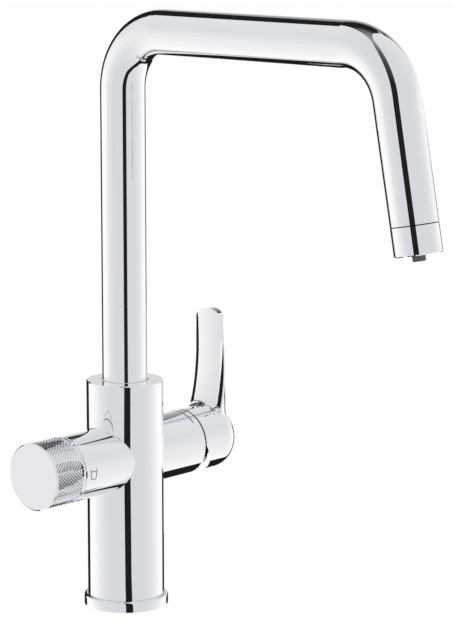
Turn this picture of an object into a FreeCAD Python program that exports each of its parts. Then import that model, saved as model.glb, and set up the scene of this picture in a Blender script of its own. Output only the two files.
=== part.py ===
"""Kitchen mixer tap with a U spout, a side mixer lever and a filtered-water knob.

FreeCAD macro, millimetres.  Origin at the middle of the base on the worktop, Z up,
the spout points to -Y, the mixer lever is on +X and the filtered-water knob on -X.
"""
import FreeCAD, Part
import math
import os
import Sketcher

# Driving sizes: alias, value, what it is
SIZES = [
    ("body_diameter", 46.0, "upright body"),
    ("body_height", 137.5, "worktop to the top of the body"),
    ("edge_chamfer", 0.5, "broken outer edges of the body and arms"),
    ("crease_round", 0.8, "casting radius between body and arms"),
    ("ring_step", 2.3, "base ring, how far it stands out round the body"),
    ("ring_height", 6.4, "base ring"),
    ("ring_round", 1.6, "base ring, upper edge"),
    ("ring_bore", 38.0, "base ring, way through for hoses and stud"),
    ("ring_seat", 4.8, "height of the ledge that the body stands on"),
    ("seat_gap", 0.2, "gap round the body in the base ring"),
    ("gasket_bore", 41.0, "base gasket, inside"),
    ("gasket_width", 3.0, "base gasket, radial width"),
    ("gasket_depth", 2.0, "base gasket, thickness"),
    ("cavity_diameter", 39.0, "hollow foot of the body"),
    ("arm_drop", 46.5, "top of the body to the axis of the two side arms"),
    ("web_drop", 30.5, "axis of the arms to the roof of the hollow foot"),
    ("arm_diameter", 39.4, "side arms"),
    ("lever_seam", 50.4, "middle of the body to the end of the lever arm"),
    ("knob_seam", 52.2, "middle of the body to the end of the knob arm"),
    ("stud_bore", 6.8, "M8 stud hole, core"),
    ("stud_depth", 18.0, "M8 stud hole"),
    ("hose_bore", 9.0, "M10x1 hose ports, core"),
    ("hose_depth", 12.0, "M10x1 hose ports"),
    ("mix_port_across", 10.0, "hot and cold ports, towards the lever"),
    ("mix_port_apart", 16.0, "hot to cold port"),
    ("filter_port_across", 13.0, "filtered-water port, towards the knob"),
    ("drilling", 6.0, "water ways drilled in the body"),
    ("water_rise", 3.5, "hot and cold ways lie this far below the arm axis"),
    ("mixed_drilling", 5.0, "mixed-water way"),
    ("mixed_rise", 6.5, "mixed-water way lies this far above the arm axis"),
    ("tube_diameter", 26.8, "spout tube"),
    ("tube_wall", 1.5, "spout tube"),
    ("tube_depth", 16.5, "top of the body to the lower end of the spout tube"),
    ("bend_radius", 34.0, "both bends, on the centre line"),
    ("spout_height", 345.6, "axis of the level run"),
    ("corner_reach", 199.2, "body axis to the corner of the outer bend"),
    ("drop_lean", 10.9, "lean of the drop leg, degrees"),
    ("drop_length", 112.0, "corner to the end of the outlet sleeve"),
    ("socket_depth", 29.5, "top of the body to the ledge under the spout"),
    ("plenum_depth", 33.5, "top of the body to the floor of the mixed-water space"),
    ("plenum_diameter", 24.0, "mixed-water space"),
    ("swivel_clearance", 0.1, "spout spigot in its socket, radial"),
    ("glide_width", 0.9, "upper glide ring, radial width"),
    ("glide_height", 5.0, "upper glide ring"),
    ("glide_recess", 0.3, "upper glide ring below the top of the body"),
    ("thrust_height", 1.5, "lower glide ring"),
    ("spigot_bore", 18.0, "spout spigot, water way"),
    ("spigot_neck", 12.0, "spout spigot, length inside the tube"),
    ("seal_depth", 1.8, "O-ring grooves of the spigot"),
    ("seal_width", 2.4, "O-ring grooves of the spigot"),
    ("lower_seal_depth", 25.3, "top of the body to the lower O-ring of the spigot"),
    ("upper_seal_depth", 18.3, "top of the body to the upper O-ring of the spigot"),
    ("seal_ease", 0.02, "O-rings to the walls round them"),
    ("stop_drop", 21.8, "top of the body to the stop screw and its groove"),
    ("stop_width", 4.0, "stop groove"),
    ("stop_depth", 2.5, "stop groove"),
    ("stop_sweep", 160.0, "stop groove, degrees"),
    ("stop_screw", 5.0, "stop screw, M5"),
    ("stop_floor_gap", 0.4, "stop screw to the floor of its groove"),
    ("stop_side_gap", 0.2, "stop screw to each side of its groove"),
    ("stop_shoulder_gap", 0.3, "shoulder of the stop screw to the spigot"),
    ("filter_tube", 8.0, "filtered-water tube, outside"),
    ("filter_tube_wall", 1.0, "filtered-water tube"),
    ("filter_tube_depth", 40.5, "top of the body to its lower end"),
    ("filter_tube_gap", 0.15, "filtered-water tube in the body, radial"),
    ("tube_seal_drop", 37.0, "top of the body to the O-ring of the filtered-water tube"),
    ("tube_seal_width", 2.4, "its groove"),
    ("tube_seal_depth", 1.8, "its groove"),
    ("sleeve_length", 16.5, "outlet sleeve"),
    ("sleeve_bore", 24.6, "outlet sleeve"),
    ("sleeve_lip", 1.8, "outlet sleeve, thickness of the lip"),
    ("sleeve_groove", 0.4, "outlet sleeve, groove that marks its seam with the tube"),
    ("lip_bore", 22.0, "outlet sleeve, opening in the lip"),
    ("bush_bore", 21.0, "outlet bush"),
    ("bush_grip", 8.0, "outlet bush, length inside the tube"),
    ("aerator_flange", 1.6, "aerator, flange thickness"),
    ("aerator_height", 9.0, "aerator, upper end above the outlet"),
    ("aerator_cage", 20.0, "aerator, body"),
    ("aerator_holes", 20.0, "aerator, number of stream holes"),
    ("aerator_hole", 1.6, "aerator, stream holes"),
    ("aerator_gap", 0.1, "aerator and nozzle, radial clearance"),
    ("outlet_seal", 1.8, "aerator washer"),
    ("nozzle_square", 5.2, "filtered-water nozzle, across flats"),
    ("nozzle_proud", 3.5, "filtered-water nozzle, below the outlet"),
    ("nozzle_stem", 8.4, "filtered-water nozzle, round stem"),
    ("nozzle_bore", 4.4, "filtered-water nozzle"),
    ("nozzle_collar", 11.2, "filtered-water nozzle, collar"),
    ("nozzle_top", 17.0, "filtered-water nozzle, upper end above the outlet"),
    ("nozzle_socket", 6.0, "filtered-water nozzle, depth of the tube socket"),
    ("mixer_floor", 22.0, "body axis to the floor of the cartridge chamber"),
    ("cartridge_diameter", 28.0, "mixer cartridge"),
    ("cartridge_gap", 0.1, "cartridge in the body, radial"),
    ("cartridge_foot", 4.0, "cartridge base, thickness"),
    ("cartridge_wall", 1.5, "cartridge housing"),
    ("port_seal_height", 1.6, "cartridge port seals"),
    ("port_seal_width", 1.4, "cartridge port seals"),
    ("disc_thickness", 3.5, "cartridge ceramic discs"),
    ("fixed_disc", 24.6, "cartridge, fixed ceramic disc"),
    ("moving_disc", 17.0, "cartridge, moving ceramic disc"),
    ("disc_travel", 5.8, "cartridge, slide of the moving disc"),
    ("carrier_height", 2.4, "disc carrier"),
    ("tongue_width", 8.0, "disc carrier tongue"),
    ("tongue_length", 9.0, "disc carrier tongue"),
    ("tongue_height", 2.4, "disc carrier tongue"),
    ("slide_gap", 0.25, "sliding and turning plastic pieces"),
    ("flange_diameter", 32.0, "cartridge flange"),
    ("flange_height", 4.0, "cartridge flange"),
    ("sleeve_diameter", 21.0, "turning sleeve"),
    ("sleeve_flange", 2.0, "turning sleeve, flange thickness"),
    ("sleeve_slot", 17.0, "turning sleeve, length of the spindle slot"),
    ("cartridge_reach", 57.0, "body axis to the outer end of the cartridge"),
    ("spindle_width", 6.0, "lever spindle, along the pin"),
    ("spindle_height", 8.0, "lever spindle, across the pin"),
    ("spindle_reach", 78.0, "body axis to the outer end of the spindle"),
    ("spindle_ball", 4.8, "lever spindle, ball end"),
    ("spindle_neck", 3.0, "lever spindle, neck above the ball"),
    ("ball_arm", 14.7, "pin to the middle of the ball"),
    ("pin_diameter", 4.0, "spindle pin"),
    ("pin_length", 20.0, "spindle pin"),
    ("pin_gap", 0.05, "spindle on its pin, radial"),
    ("mouth_diameter", 36.0, "cartridge nut and cover cap"),
    ("mouth_gap", 0.05, "cover cap in the arm, radial"),
    ("nut_height", 6.0, "cartridge nut, threaded rim"),
    ("nut_neck", 33.2, "cartridge nut, neck"),
    ("nut_neck_length", 5.0, "cartridge nut, neck"),
    ("nut_bore", 26.0, "cartridge nut"),
    ("cap_wall", 1.2, "cover cap"),
    ("cap_hole", 24.0, "cover cap, opening for the spindle"),
    ("lever_gap", 0.6, "lever to the arm"),
    ("cut_over", 1.0, "cuts run this far past the face they open"),
    ("lever_clearance", 0.4, "lever over the cover cap"),
    ("lever_reach", 84.4, "body axis to the end of the lever hub"),
    ("lever_round", 13.0, "rounded end of the lever hub"),
    ("lever_cut", 30.0, "slant of the lower rim of the hub, degrees"),
    ("tip_height", 79.7, "lever tip above the arm axis"),
    ("tip_back", 9.2, "edge of the lever's inner face at its tip, back from the hub's end"),
    ("tip_thickness", 4.2, "lever at its tip"),
    ("tip_crown", 14.0, "radius of the rounded lever tip"),
    ("tip_edge", 1.0, "edges of the lever at its tip"),
    ("face_crown", 60.0, "radius across the lever's inner face"),
    ("blade_width", 22.3, "lever blade"),
    ("blade_height", 60.0, "upper section of the lever above the arm axis"),
    ("blade_back", 9.2, "edge of the inner face at the upper section, back from the hub's end"),
    ("blade_thickness", 5.2, "lever at its upper section"),
    ("blade_edge", 1.1, "edges of the lever at its upper section"),
    ("waist_height", 40.0, "middle section of the lever above the arm axis"),
    ("waist_back", 9.4, "edge of the inner face at the middle, back from the hub's end"),
    ("waist_thickness", 6.8, "lever at its middle"),
    ("waist_width", 23.8, "lever at its middle"),
    ("waist_edge", 1.3, "edges of the lever at its middle"),
    ("neck_rise", 2.3, "lower section of the lever above the top of the hub"),
    ("neck_back", 12.4, "edge of the inner face at the lower section, back from the hub's end"),
    ("neck_thickness", 11.2, "lever at its lower section"),
    ("neck_width", 25.0, "lever at its lower section"),
    ("neck_edge", 2.4, "edges of the lever at its lower section"),
    ("root_depth", 15.7, "root of the lever below the top of the hub"),
    ("root_back", 19.4, "edge of the inner face at the root, back from the hub's end"),
    ("root_thickness", 17.4, "lever at its root"),
    ("root_width", 29.0, "lever at its root"),
    ("root_edge", 6.5, "edges of the lever at its root"),
    ("lever_blend", 4.5, "fillet between the lever's blade and hub"),
    ("lever_screw", 5.0, "lever screw, M5"),
    ("lever_screw_length", 8.0, "lever screw"),
    ("lever_screw_inset", 5.0, "end of the spindle to the lever screw"),
    ("plug_diameter", 6.0, "plug over the lever screw"),
    ("plug_height", 3.0, "plug over the lever screw"),
    ("valve_floor", 8.0, "body axis to the floor of the filter valve chamber"),
    ("valve_chamber", 22.2, "filter valve chamber"),
    ("valve_recess", 35.0, "wide mouth of the knob arm"),
    ("valve_recess_floor", 42.0, "body axis to the floor of that mouth"),
    ("valve_thread", 22.0, "filter valve, threaded shank"),
    ("valve_nose", 18.0, "filter valve, inner shank"),
    ("valve_nose_length", 20.0, "filter valve, inner shank"),
    ("valve_setback", 0.6, "filter valve to the floor of its chamber"),
    ("valve_seal", 2.4, "filter valve, seat seal"),
    ("valve_seal_bore", 11.0, "filter valve, seat seal"),
    ("valve_bore", 14.4, "filter valve, disc chamber"),
    ("valve_disc", 3.0, "filter valve, ceramic discs"),
    ("valve_window", 4.0, "filter valve, side windows"),
    ("valve_hex", 24.0, "filter valve, across flats"),
    ("valve_hex_height", 6.0, "filter valve, hexagon"),
    ("valve_neck", 17.0, "filter valve, neck"),
    ("valve_reach", 56.0, "body axis to the outer end of the filter valve"),
    ("stem_diameter", 10.0, "valve spindle"),
    ("stem_gap", 0.05, "valve spindle in the valve, radial"),
    ("stem_drive", 6.5, "valve spindle, drive disc"),
    ("stem_square", 7.0, "valve spindle, square end"),
    ("stem_reach", 69.0, "body axis to the outer end of the valve spindle"),
    ("stem_seal_depth", 1.4, "valve spindle, O-ring grooves"),
    ("stem_seal_width", 1.9, "valve spindle, O-ring grooves"),
    ("stem_seal_across", 37.0, "body axis to the first O-ring"),
    ("stem_seal_pitch", 6.0, "first to second O-ring"),
    ("clip_thickness", 1.0, "spindle clip"),
    ("clip_diameter", 14.0, "spindle clip"),
    ("clip_depth", 0.8, "spindle clip, groove"),
    ("knob_diameter", 39.9, "filtered-water knob"),
    ("knob_reach", 76.6, "body axis to the face of the knob"),
    ("knob_gap", 0.4, "knob to the arm"),
    ("knob_wall", 2.3, "filtered-water knob, rim"),
    ("knob_end", 4.5, "filtered-water knob, end wall"),
    ("knob_boss", 22.0, "filtered-water knob, boss"),
    ("knob_chamfer", 0.7, "filtered-water knob, rim of the face"),
    ("bush_diameter", 15.0, "knob bush"),
    ("bush_gap", 0.8, "knob bush to the spindle clip"),
]


class Size:
    """A number together with the spreadsheet expression that gives it."""

    def __init__(self, value, text):
        self.value = value
        self.text = text

    def _join(self, other, sign, value):
        return Size(value, "(" + self.text + sign + as_size(other).text + ")")

    def __add__(self, other):
        return self._join(other, " + ", self.value + as_size(other).value)

    def __radd__(self, other):
        return as_size(other) + self

    def __sub__(self, other):
        return self._join(other, " - ", self.value - as_size(other).value)

    def __rsub__(self, other):
        return as_size(other) - self

    def __mul__(self, other):
        return self._join(other, " * ", self.value * as_size(other).value)

    def __rmul__(self, other):
        return as_size(other) * self

    def __truediv__(self, other):
        return self._join(other, " / ", self.value / as_size(other).value)

    def __neg__(self):
        return Size(-self.value, "(-" + self.text + ")")


def as_size(number):
    """Give a plain number as a Size."""
    if isinstance(number, Size):
        return number
    return Size(float(number), repr(float(number)))


def sine(angle):
    """Sine of a size in degrees."""
    return Size(math.sin(math.radians(angle.value)), "sin(" + angle.text + ")")


def cosine(angle):
    """Cosine of a size in degrees."""
    return Size(math.cos(math.radians(angle.value)), "cos(" + angle.text + ")")


def tangent(angle):
    """Tangent of a size in degrees."""
    return Size(math.tan(math.radians(angle.value)), "tan(" + angle.text + ")")


class Dims:
    """The driving sizes as attributes, read from the spreadsheet."""


def make_sheet(document):
    """Fill the spreadsheet and return its sizes."""
    sheet = document.addObject("Spreadsheet::Sheet", "dims")
    for row, (alias, value, note) in enumerate(SIZES, 1):
        sheet.set("A%d" % row, note)
        sheet.set("B%d" % row, str(value))
        sheet.setAlias("B%d" % row, alias)
    document.recompute()
    sizes = Dims()
    for alias, _value, _note in SIZES:
        setattr(sizes, alias, Size(float(sheet.get(alias)), "dims." + alias))
    return sizes


doc = FreeCAD.newDocument("kitchen_mixer_tap")
d = make_sheet(doc)
pieces = []

# Heights above the worktop that follow the top of the body, so its head keeps together
d.ring_diameter = d.body_diameter + 2 * d.ring_step
d.arm_height = d.body_height - d.arm_drop
d.cavity_roof = d.arm_height - d.web_drop
d.socket_floor = d.body_height - d.socket_depth
d.plenum_floor = d.body_height - d.plenum_depth
d.tube_foot = d.body_height - d.tube_depth
d.lower_seal_height = d.body_height - d.lower_seal_depth
d.upper_seal_height = d.body_height - d.upper_seal_depth
d.stop_height = d.body_height - d.stop_drop
d.filter_tube_foot = d.body_height - d.filter_tube_depth
d.tube_seal_height = d.body_height - d.tube_seal_drop
d.lever_screw_across = d.spindle_reach - d.lever_screw_inset


# Sketch and feature helpers

def new_body(label):
    """Start a sub-part whose Label names its file."""
    body = doc.addObject("PartDesign::Body", label)
    body.Label = label
    pieces.append(body)
    return body


def add_sketch(body, role, along=0.0, lift=0.0):
    """Attach a sketch to one of the body's own planes.

    along moves it on the plane's normal, lift up the sketch's own vertical.
    """
    sketch = body.newObject("Sketcher::SketchObject", "Sketch")
    plane = [feature for feature in body.Origin.OriginFeatures if feature.Role == role][0]
    sketch.AttachmentSupport = (plane, [""])
    sketch.MapMode = "FlatFace"
    sketch.setExpression("AttachmentOffset.Base.z", as_size(along).text)
    sketch.setExpression("AttachmentOffset.Base.y", as_size(lift).text)
    return sketch


def bind(sketch, kind, first, second, size):
    """Add a dimension between two sketch points and bind it to the spreadsheet."""
    size = as_size(size)
    if size.value < 0:
        first, second, size = second, first, -size
    index = sketch.addConstraint(Sketcher.Constraint(kind, *first, *second, size.value))
    sketch.setExpression("Constraints[%d]" % index, size.text)


def fix_point(sketch, geometry, position, across, up):
    """Hold a sketch point at a place given by two sizes."""
    root = (-1, 1)
    point = (geometry, position)
    if as_size(across).value == 0:
        sketch.addConstraint(Sketcher.Constraint("PointOnObject", geometry, position, -2))
    else:
        bind(sketch, "DistanceX", root, point, across)
    if as_size(up).value == 0:
        sketch.addConstraint(Sketcher.Constraint("PointOnObject", geometry, position, -1))
    else:
        bind(sketch, "DistanceY", root, point, up)


def arc_through(start, end, radius, turn):
    """Make the short arc from start to end; turn is 1 anticlockwise, -1 clockwise."""
    chord = end - start
    half = chord.Length / 2
    rise = math.sqrt(max(radius * radius - half * half, 0.0))
    side = FreeCAD.Vector(-chord.y, chord.x, 0).normalize() * turn
    centre = (start + end) * 0.5 + side * rise
    middle = centre + ((start + end) * 0.5 - centre).normalize() * radius
    if rise == 0.0:
        middle = centre - side * radius
    return Part.Arc(start, middle, end)


def draw(sketch, corners, closed=True):
    """Draw an outline of lines and arcs with every corner bound to the spreadsheet.

    A corner is (across, up), or (across, up, radius, turn) where an arc leads on from it.
    """
    points = [FreeCAD.Vector(as_size(c[0]).value, as_size(c[1]).value, 0) for c in corners]
    count = len(corners) if closed else len(corners) - 1
    first = sketch.GeometryCount
    ends = []
    for step in range(count):
        start = points[step]
        end = points[(step + 1) % len(points)]
        if len(corners[step]) == 4:
            turn = corners[step][3]
            sketch.addGeometry(arc_through(start, end, as_size(corners[step][2]).value, turn))
            ends.append((1, 2) if turn > 0 else (2, 1))
        else:
            sketch.addGeometry(Part.LineSegment(start, end))
            ends.append((1, 2))
    for step in range(count if closed else count - 1):
        after = (step + 1) % count
        joint = (first + step, ends[step][1], first + after, ends[after][0])
        sketch.addConstraint(Sketcher.Constraint("Coincident", *joint))
    for step in range(count):
        fix_point(sketch, first + step, ends[step][0], corners[step][0], corners[step][1])
        if len(corners[step]) == 4:
            radius = as_size(corners[step][2])
            index = sketch.addConstraint(Sketcher.Constraint("Radius", first + step, radius.value))
            sketch.setExpression("Constraints[%d]" % index, radius.text)
    if not closed:
        fix_point(sketch, first + count - 1, ends[-1][1], corners[-1][0], corners[-1][1])


def draw_circle(sketch, diameter, across=0.0, up=0.0):
    """Draw a circle with its diameter and middle bound to the spreadsheet."""
    middle = FreeCAD.Vector(as_size(across).value, as_size(up).value, 0)
    normal = FreeCAD.Vector(0, 0, 1)
    circle = sketch.addGeometry(Part.Circle(middle, normal, as_size(diameter).value / 2))
    fix_point(sketch, circle, 3, across, up)
    index = sketch.addConstraint(Sketcher.Constraint("Diameter", circle, as_size(diameter).value))
    sketch.setExpression("Constraints[%d]" % index, as_size(diameter).text)


def box_corners(width, height, across=0.0, up=0.0):
    """Corners of a rectangle about a middle point."""
    left = across - width / 2
    right = across + width / 2
    low = up - height / 2
    high = up + height / 2
    return [(left, low), (right, low), (right, high), (left, high)]


def turn_solid(body, axis, corners, kind="Revolution", lift=0.0, role="XZ_Plane", sweep=None):
    """Revolve an outline; axis is V_Axis for upright or H_Axis for level pieces."""
    sketch = add_sketch(body, role, lift=lift)
    draw(sketch, corners)
    feature = body.newObject("PartDesign::" + kind, kind)
    feature.Profile = sketch
    feature.ReferenceAxis = (sketch, [axis])
    feature.Angle = 360
    if sweep is not None:
        feature.Midplane = True
        feature.setExpression("Angle", sweep.text)
    doc.recompute()
    return feature


def push_solid(body, sketch, length, kind="Pad", both=False, back=False):
    """Pad or pocket a sketch by a bound length."""
    feature = body.newObject("PartDesign::" + kind, kind)
    feature.Profile = sketch
    feature.SideType = "Symmetric" if both else "One side"
    feature.Reversed = back
    feature.setExpression("Length", as_size(length).text)
    doc.recompute()
    return feature


def drill(body, role, diameter, depth, along, across, up, back=False):
    """Pocket one round hole from a plane of the body."""
    sketch = add_sketch(body, role, along=along)
    draw_circle(sketch, diameter, across, up)
    before = body.Shape.Volume
    push_solid(body, sketch, depth, kind="Pocket", back=back)
    if body.Shape.Volume > before - 0.001:
        raise RuntimeError("hole cuts nothing in " + body.Label)


def place(piece, axis, angle, across=0.0, along=0.0, up=0.0):
    """Set where a sub-part lies; the angle and the place are bound to the spreadsheet."""
    turned = FreeCAD.Rotation(FreeCAD.Vector(*axis), as_size(angle).value)
    piece.Placement = FreeCAD.Placement(FreeCAD.Vector(), turned)
    if isinstance(angle, Size):
        piece.setExpression("Placement.Rotation.Angle", angle.text)
    piece.setExpression("Placement.Base.x", as_size(across).text)
    piece.setExpression("Placement.Base.y", as_size(along).text)
    piece.setExpression("Placement.Base.z", as_size(up).text)


def on_lever_arm(piece):
    """Move a piece modelled about X to the axis of the lever arm."""
    place(piece, (0, 0, 1), 0.0, up=d.arm_height)


def on_knob_arm(piece):
    """Turn a piece modelled about X round to the knob arm."""
    place(piece, (0, 0, 1), 180.0, up=d.arm_height)


def on_spout(piece):
    """Turn a piece modelled towards +Y round to the spout side."""
    place(piece, (0, 0, 1), 180.0)


def on_outlet(piece):
    """Move a piece modelled upright to the leaning end of the drop leg."""
    reach = d.corner_reach + d.drop_length * sine(d.drop_lean)
    rise = d.spout_height - d.drop_length * cosine(d.drop_lean)
    place(piece, (-1, 0, 0), d.drop_lean, along=-reach, up=rise)


def o_ring(name, middle, section):
    """Make a ring of round section, upright, as a loose object."""
    ring = doc.addObject("Part::Torus", name)
    ring.setExpression("Radius1", as_size(middle).text)
    ring.setExpression("Radius2", as_size(section).text)
    return ring


def round_bar(name, radius, height):
    """Make an upright cylinder as a loose object."""
    bar = doc.addObject("Part::Cylinder", name)
    bar.Label = name
    bar.setExpression("Radius", radius.text)
    bar.setExpression("Height", height.text)
    return bar


def group(label, members):
    """Join separate solids into one node."""
    compound = doc.addObject("Part::Compound", label)
    compound.Label = label
    compound.Links = members
    pieces.append(compound)
    return compound


# Base and body

def make_base_ring():
    body = new_body("base_ring")
    outer = d.ring_diameter / 2
    bore = d.ring_bore / 2
    seat = d.body_diameter / 2 + d.seat_gap
    groove = d.gasket_bore / 2
    turn_solid(body, "V_Axis", [
        (bore, 0), (groove, 0), (groove, d.gasket_depth),
        (groove + d.gasket_width, d.gasket_depth), (groove + d.gasket_width, 0), (outer, 0),
        (outer, d.ring_height - d.ring_round, d.ring_round, 1),
        (outer - d.ring_round, d.ring_height), (seat, d.ring_height),
        (seat, d.ring_seat), (bore, d.ring_seat)])


def make_base_gasket():
    body = new_body("base_gasket")
    inner = d.gasket_bore / 2
    outer = inner + d.gasket_width
    turn_solid(body, "V_Axis", [
        (inner, 0), (outer, 0), (outer, d.gasket_depth), (inner, d.gasket_depth)])


def round_creases(body):
    """Fillet the creases where the two arms leave the upright body."""
    solid = body.Tip
    edges = []
    for number, edge in enumerate(solid.Shape.Edges, 1):
        if not isinstance(edge.Curve, (Part.Line, Part.Circle)):
            edges.append("Edge%d" % number)
    fillet = body.newObject("PartDesign::Fillet", "Fillet")
    fillet.Base = (solid, edges)
    fillet.setExpression("Radius", d.crease_round.text)
    doc.recompute()


def make_main_body():
    body = new_body("main_body")
    outer = d.body_diameter / 2
    arm = d.arm_diameter / 2
    turn_solid(body, "V_Axis", [
        (0, d.ring_seat), (outer, d.ring_seat), (outer, d.body_height - d.edge_chamfer),
        (outer - d.edge_chamfer, d.body_height), (0, d.body_height)])
    turn_solid(body, "H_Axis", [
        (-d.knob_seam, 0), (-d.knob_seam, arm - d.edge_chamfer),
        (d.edge_chamfer - d.knob_seam, arm), (d.lever_seam - d.edge_chamfer, arm),
        (d.lever_seam, arm - d.edge_chamfer), (d.lever_seam, 0)], lift=d.arm_height)
    round_creases(body)
    cut_foot(body)
    cut_spout_socket(body)
    cut_mixer_chamber(body)
    cut_valve_chamber(body)
    cut_water_ways(body)


def cut_foot(body):
    """Hollow the foot and open its ports for the stud and the hoses."""
    foot = d.cavity_diameter / 2
    turn_solid(body, "V_Axis", [
        (0, d.ring_seat), (foot, d.ring_seat), (foot, d.cavity_roof), (0, d.cavity_roof)], "Groove")
    apart = d.mix_port_apart / 2
    drill(body, "XY_Plane", d.stud_bore, d.stud_depth, d.cavity_roof, 0.0, 0.0, back=True)
    drill(body, "XY_Plane", d.hose_bore, d.hose_depth, d.cavity_roof, d.mix_port_across, apart, True)
    drill(body, "XY_Plane", d.hose_bore, d.hose_depth, d.cavity_roof, d.mix_port_across, -apart, True)
    drill(body, "XY_Plane", d.hose_bore, d.hose_depth, d.cavity_roof, -d.filter_port_across, 0.0, True)


def cut_spout_socket(body):
    """Bore the socket that the spout swivels in."""
    socket = d.tube_diameter / 2 + d.swivel_clearance
    glide = socket + d.glide_width
    shoulder = d.body_height - d.glide_recess - d.glide_height
    plenum = d.plenum_diameter / 2
    turn_solid(body, "V_Axis", [
        (0, d.plenum_floor), (plenum, d.plenum_floor), (plenum, d.socket_floor),
        (socket, d.socket_floor), (socket, shoulder), (glide, shoulder),
        (glide, d.body_height), (0, d.body_height)], "Groove")
    drill(body, "XZ_Plane", d.stop_screw, d.body_diameter / 2, 0.0, 0.0, d.stop_height)
    hole = d.filter_tube / 2 + d.filter_tube_gap
    groove = hole + d.tube_seal_depth
    low = d.tube_seal_height - d.tube_seal_width / 2
    high = d.tube_seal_height + d.tube_seal_width / 2
    turn_solid(body, "V_Axis", [
        (0, d.arm_height), (hole, d.arm_height), (hole, low), (groove, low), (groove, high),
        (hole, high), (hole, d.plenum_floor), (0, d.plenum_floor)], "Groove")


def cut_mixer_chamber(body):
    """Bore the lever arm for the cartridge, its flange and its nut."""
    chamber = d.cartridge_diameter / 2 + d.cartridge_gap
    ledge = d.flange_diameter / 2 + d.cartridge_gap
    mouth = d.mouth_diameter / 2 + d.mouth_gap
    turn_solid(body, "H_Axis", [
        (d.mixer_floor, 0), (d.mixer_floor, chamber), (flange_start(), chamber),
        (flange_start(), ledge), (flange_end(), ledge), (flange_end(), mouth),
        (d.lever_seam, mouth), (d.lever_seam, 0)], "Groove", lift=d.arm_height)


def cut_valve_chamber(body):
    """Bore the knob arm for the filter valve."""
    chamber = d.valve_chamber / 2
    recess = d.valve_recess / 2
    turn_solid(body, "H_Axis", [
        (-d.valve_floor, 0), (-d.valve_floor, chamber), (-d.valve_recess_floor, chamber),
        (-d.valve_recess_floor, recess), (-d.knob_seam, recess), (-d.knob_seam, 0)],
        "Groove", lift=d.arm_height)


def cut_water_ways(body):
    """Drill the ways between the ports, the two chambers and the spout."""
    apart = d.mix_port_apart / 2
    level = d.arm_height - d.water_rise
    rise = level - d.cavity_roof
    run = d.mixer_floor - d.mix_port_across
    for side in (apart, -apart):
        drill(body, "XY_Plane", d.drilling, rise, d.cavity_roof, d.mix_port_across, side, True)
        drill(body, "YZ_Plane", d.drilling, run, d.mix_port_across, side, level, back=True)
    mixed = d.arm_height + d.mixed_rise
    drill(body, "YZ_Plane", d.mixed_drilling, run, d.mix_port_across, 0.0, mixed, back=True)
    climb = d.plenum_floor - mixed
    drill(body, "XY_Plane", d.mixed_drilling, climb, d.plenum_floor, d.mix_port_across, 0.0)
    chamber_low = d.arm_height - d.cavity_roof
    drill(body, "XY_Plane", d.drilling, chamber_low, d.cavity_roof, -d.filter_port_across, 0.0, True)
    drill(body, "YZ_Plane", d.drilling, d.valve_floor, 0.0, 0.0, d.arm_height)


def flange_start():
    """Body axis to the inner face of the cartridge flange."""
    return d.mixer_floor + d.cartridge_foot + 2 * d.disc_thickness + d.carrier_height


def flange_end():
    """Body axis to the outer face of the cartridge flange."""
    return flange_start() + d.flange_height


# Swivel of the spout

def make_upper_glide_ring():
    body = new_body("upper_glide_ring")
    inner = d.tube_diameter / 2 + d.swivel_clearance
    outer = inner + d.glide_width
    high = d.body_height - d.glide_recess
    low = high - d.glide_height
    turn_solid(body, "V_Axis", [(inner, low), (outer, low), (outer, high), (inner, high)])


def make_lower_glide_ring():
    body = new_body("lower_glide_ring")
    inner = d.plenum_diameter / 2
    outer = d.tube_diameter / 2
    high = d.socket_floor + d.thrust_height
    turn_solid(body, "V_Axis", [
        (inner, d.socket_floor), (outer, d.socket_floor), (outer, high), (inner, high)])


def make_spout_spigot():
    body = new_body("spout_spigot")
    outer = d.tube_diameter / 2
    neck = outer - d.tube_wall
    bore = d.spigot_bore / 2
    foot = d.socket_floor + d.thrust_height + d.swivel_clearance
    turn_solid(body, "V_Axis", [
        (bore, foot), (outer, foot), (outer, d.tube_foot), (neck, d.tube_foot),
        (neck, d.tube_foot + d.spigot_neck), (bore, d.tube_foot + d.spigot_neck)])
    for middle in (d.lower_seal_height, d.upper_seal_height):
        low = middle - d.seal_width / 2
        high = middle + d.seal_width / 2
        turn_solid(body, "V_Axis", [
            (outer - d.seal_depth, low), (outer, low), (outer, high),
            (outer - d.seal_depth, high)], "Groove")
    low = d.stop_height - d.stop_width / 2
    high = d.stop_height + d.stop_width / 2
    turn_solid(body, "V_Axis", [
        (outer - d.stop_depth, low), (outer, low), (outer, high), (outer - d.stop_depth, high)],
        "Groove", role="YZ_Plane", sweep=d.stop_sweep)


def make_spout_seals():
    middle = d.tube_diameter / 2 - (d.seal_depth - d.swivel_clearance) / 2
    section = (d.seal_depth + d.swivel_clearance) / 2 - d.seal_ease
    rings = []
    for height in (d.lower_seal_height, d.upper_seal_height):
        ring = o_ring("spout_o_ring", middle, section)
        place(ring, (0, 0, 1), 0.0, up=height)
        rings.append(ring)
    group("spout_o_rings", rings)


def make_stop_screw():
    """Grub screw with a dog point, from the back of the body into the stop groove."""
    body = new_body("swivel_stop_screw")
    outer = d.tube_diameter / 2
    tip = outer - d.stop_depth + d.stop_floor_gap
    shoulder = outer + d.stop_shoulder_gap
    head = d.body_diameter / 2 - d.edge_chamfer
    dog = d.stop_width / 2 - d.stop_side_gap
    thread = d.stop_screw / 2
    turn_solid(body, "H_Axis", [
        (tip, 0), (tip, dog), (shoulder, dog), (shoulder, thread), (head, thread), (head, 0)])
    place(body, (0, 0, 1), 90.0, up=d.stop_height)


def make_tube_seal():
    hole = d.filter_tube / 2
    depth = d.tube_seal_depth + d.filter_tube_gap
    ring = o_ring("filtered_water_seal", hole + depth / 2, depth / 2 - d.seal_ease)
    ring.Label = "filtered_water_seal"
    place(ring, (0, 0, 1), 0.0, up=d.tube_seal_height)
    pieces.append(ring)


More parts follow.
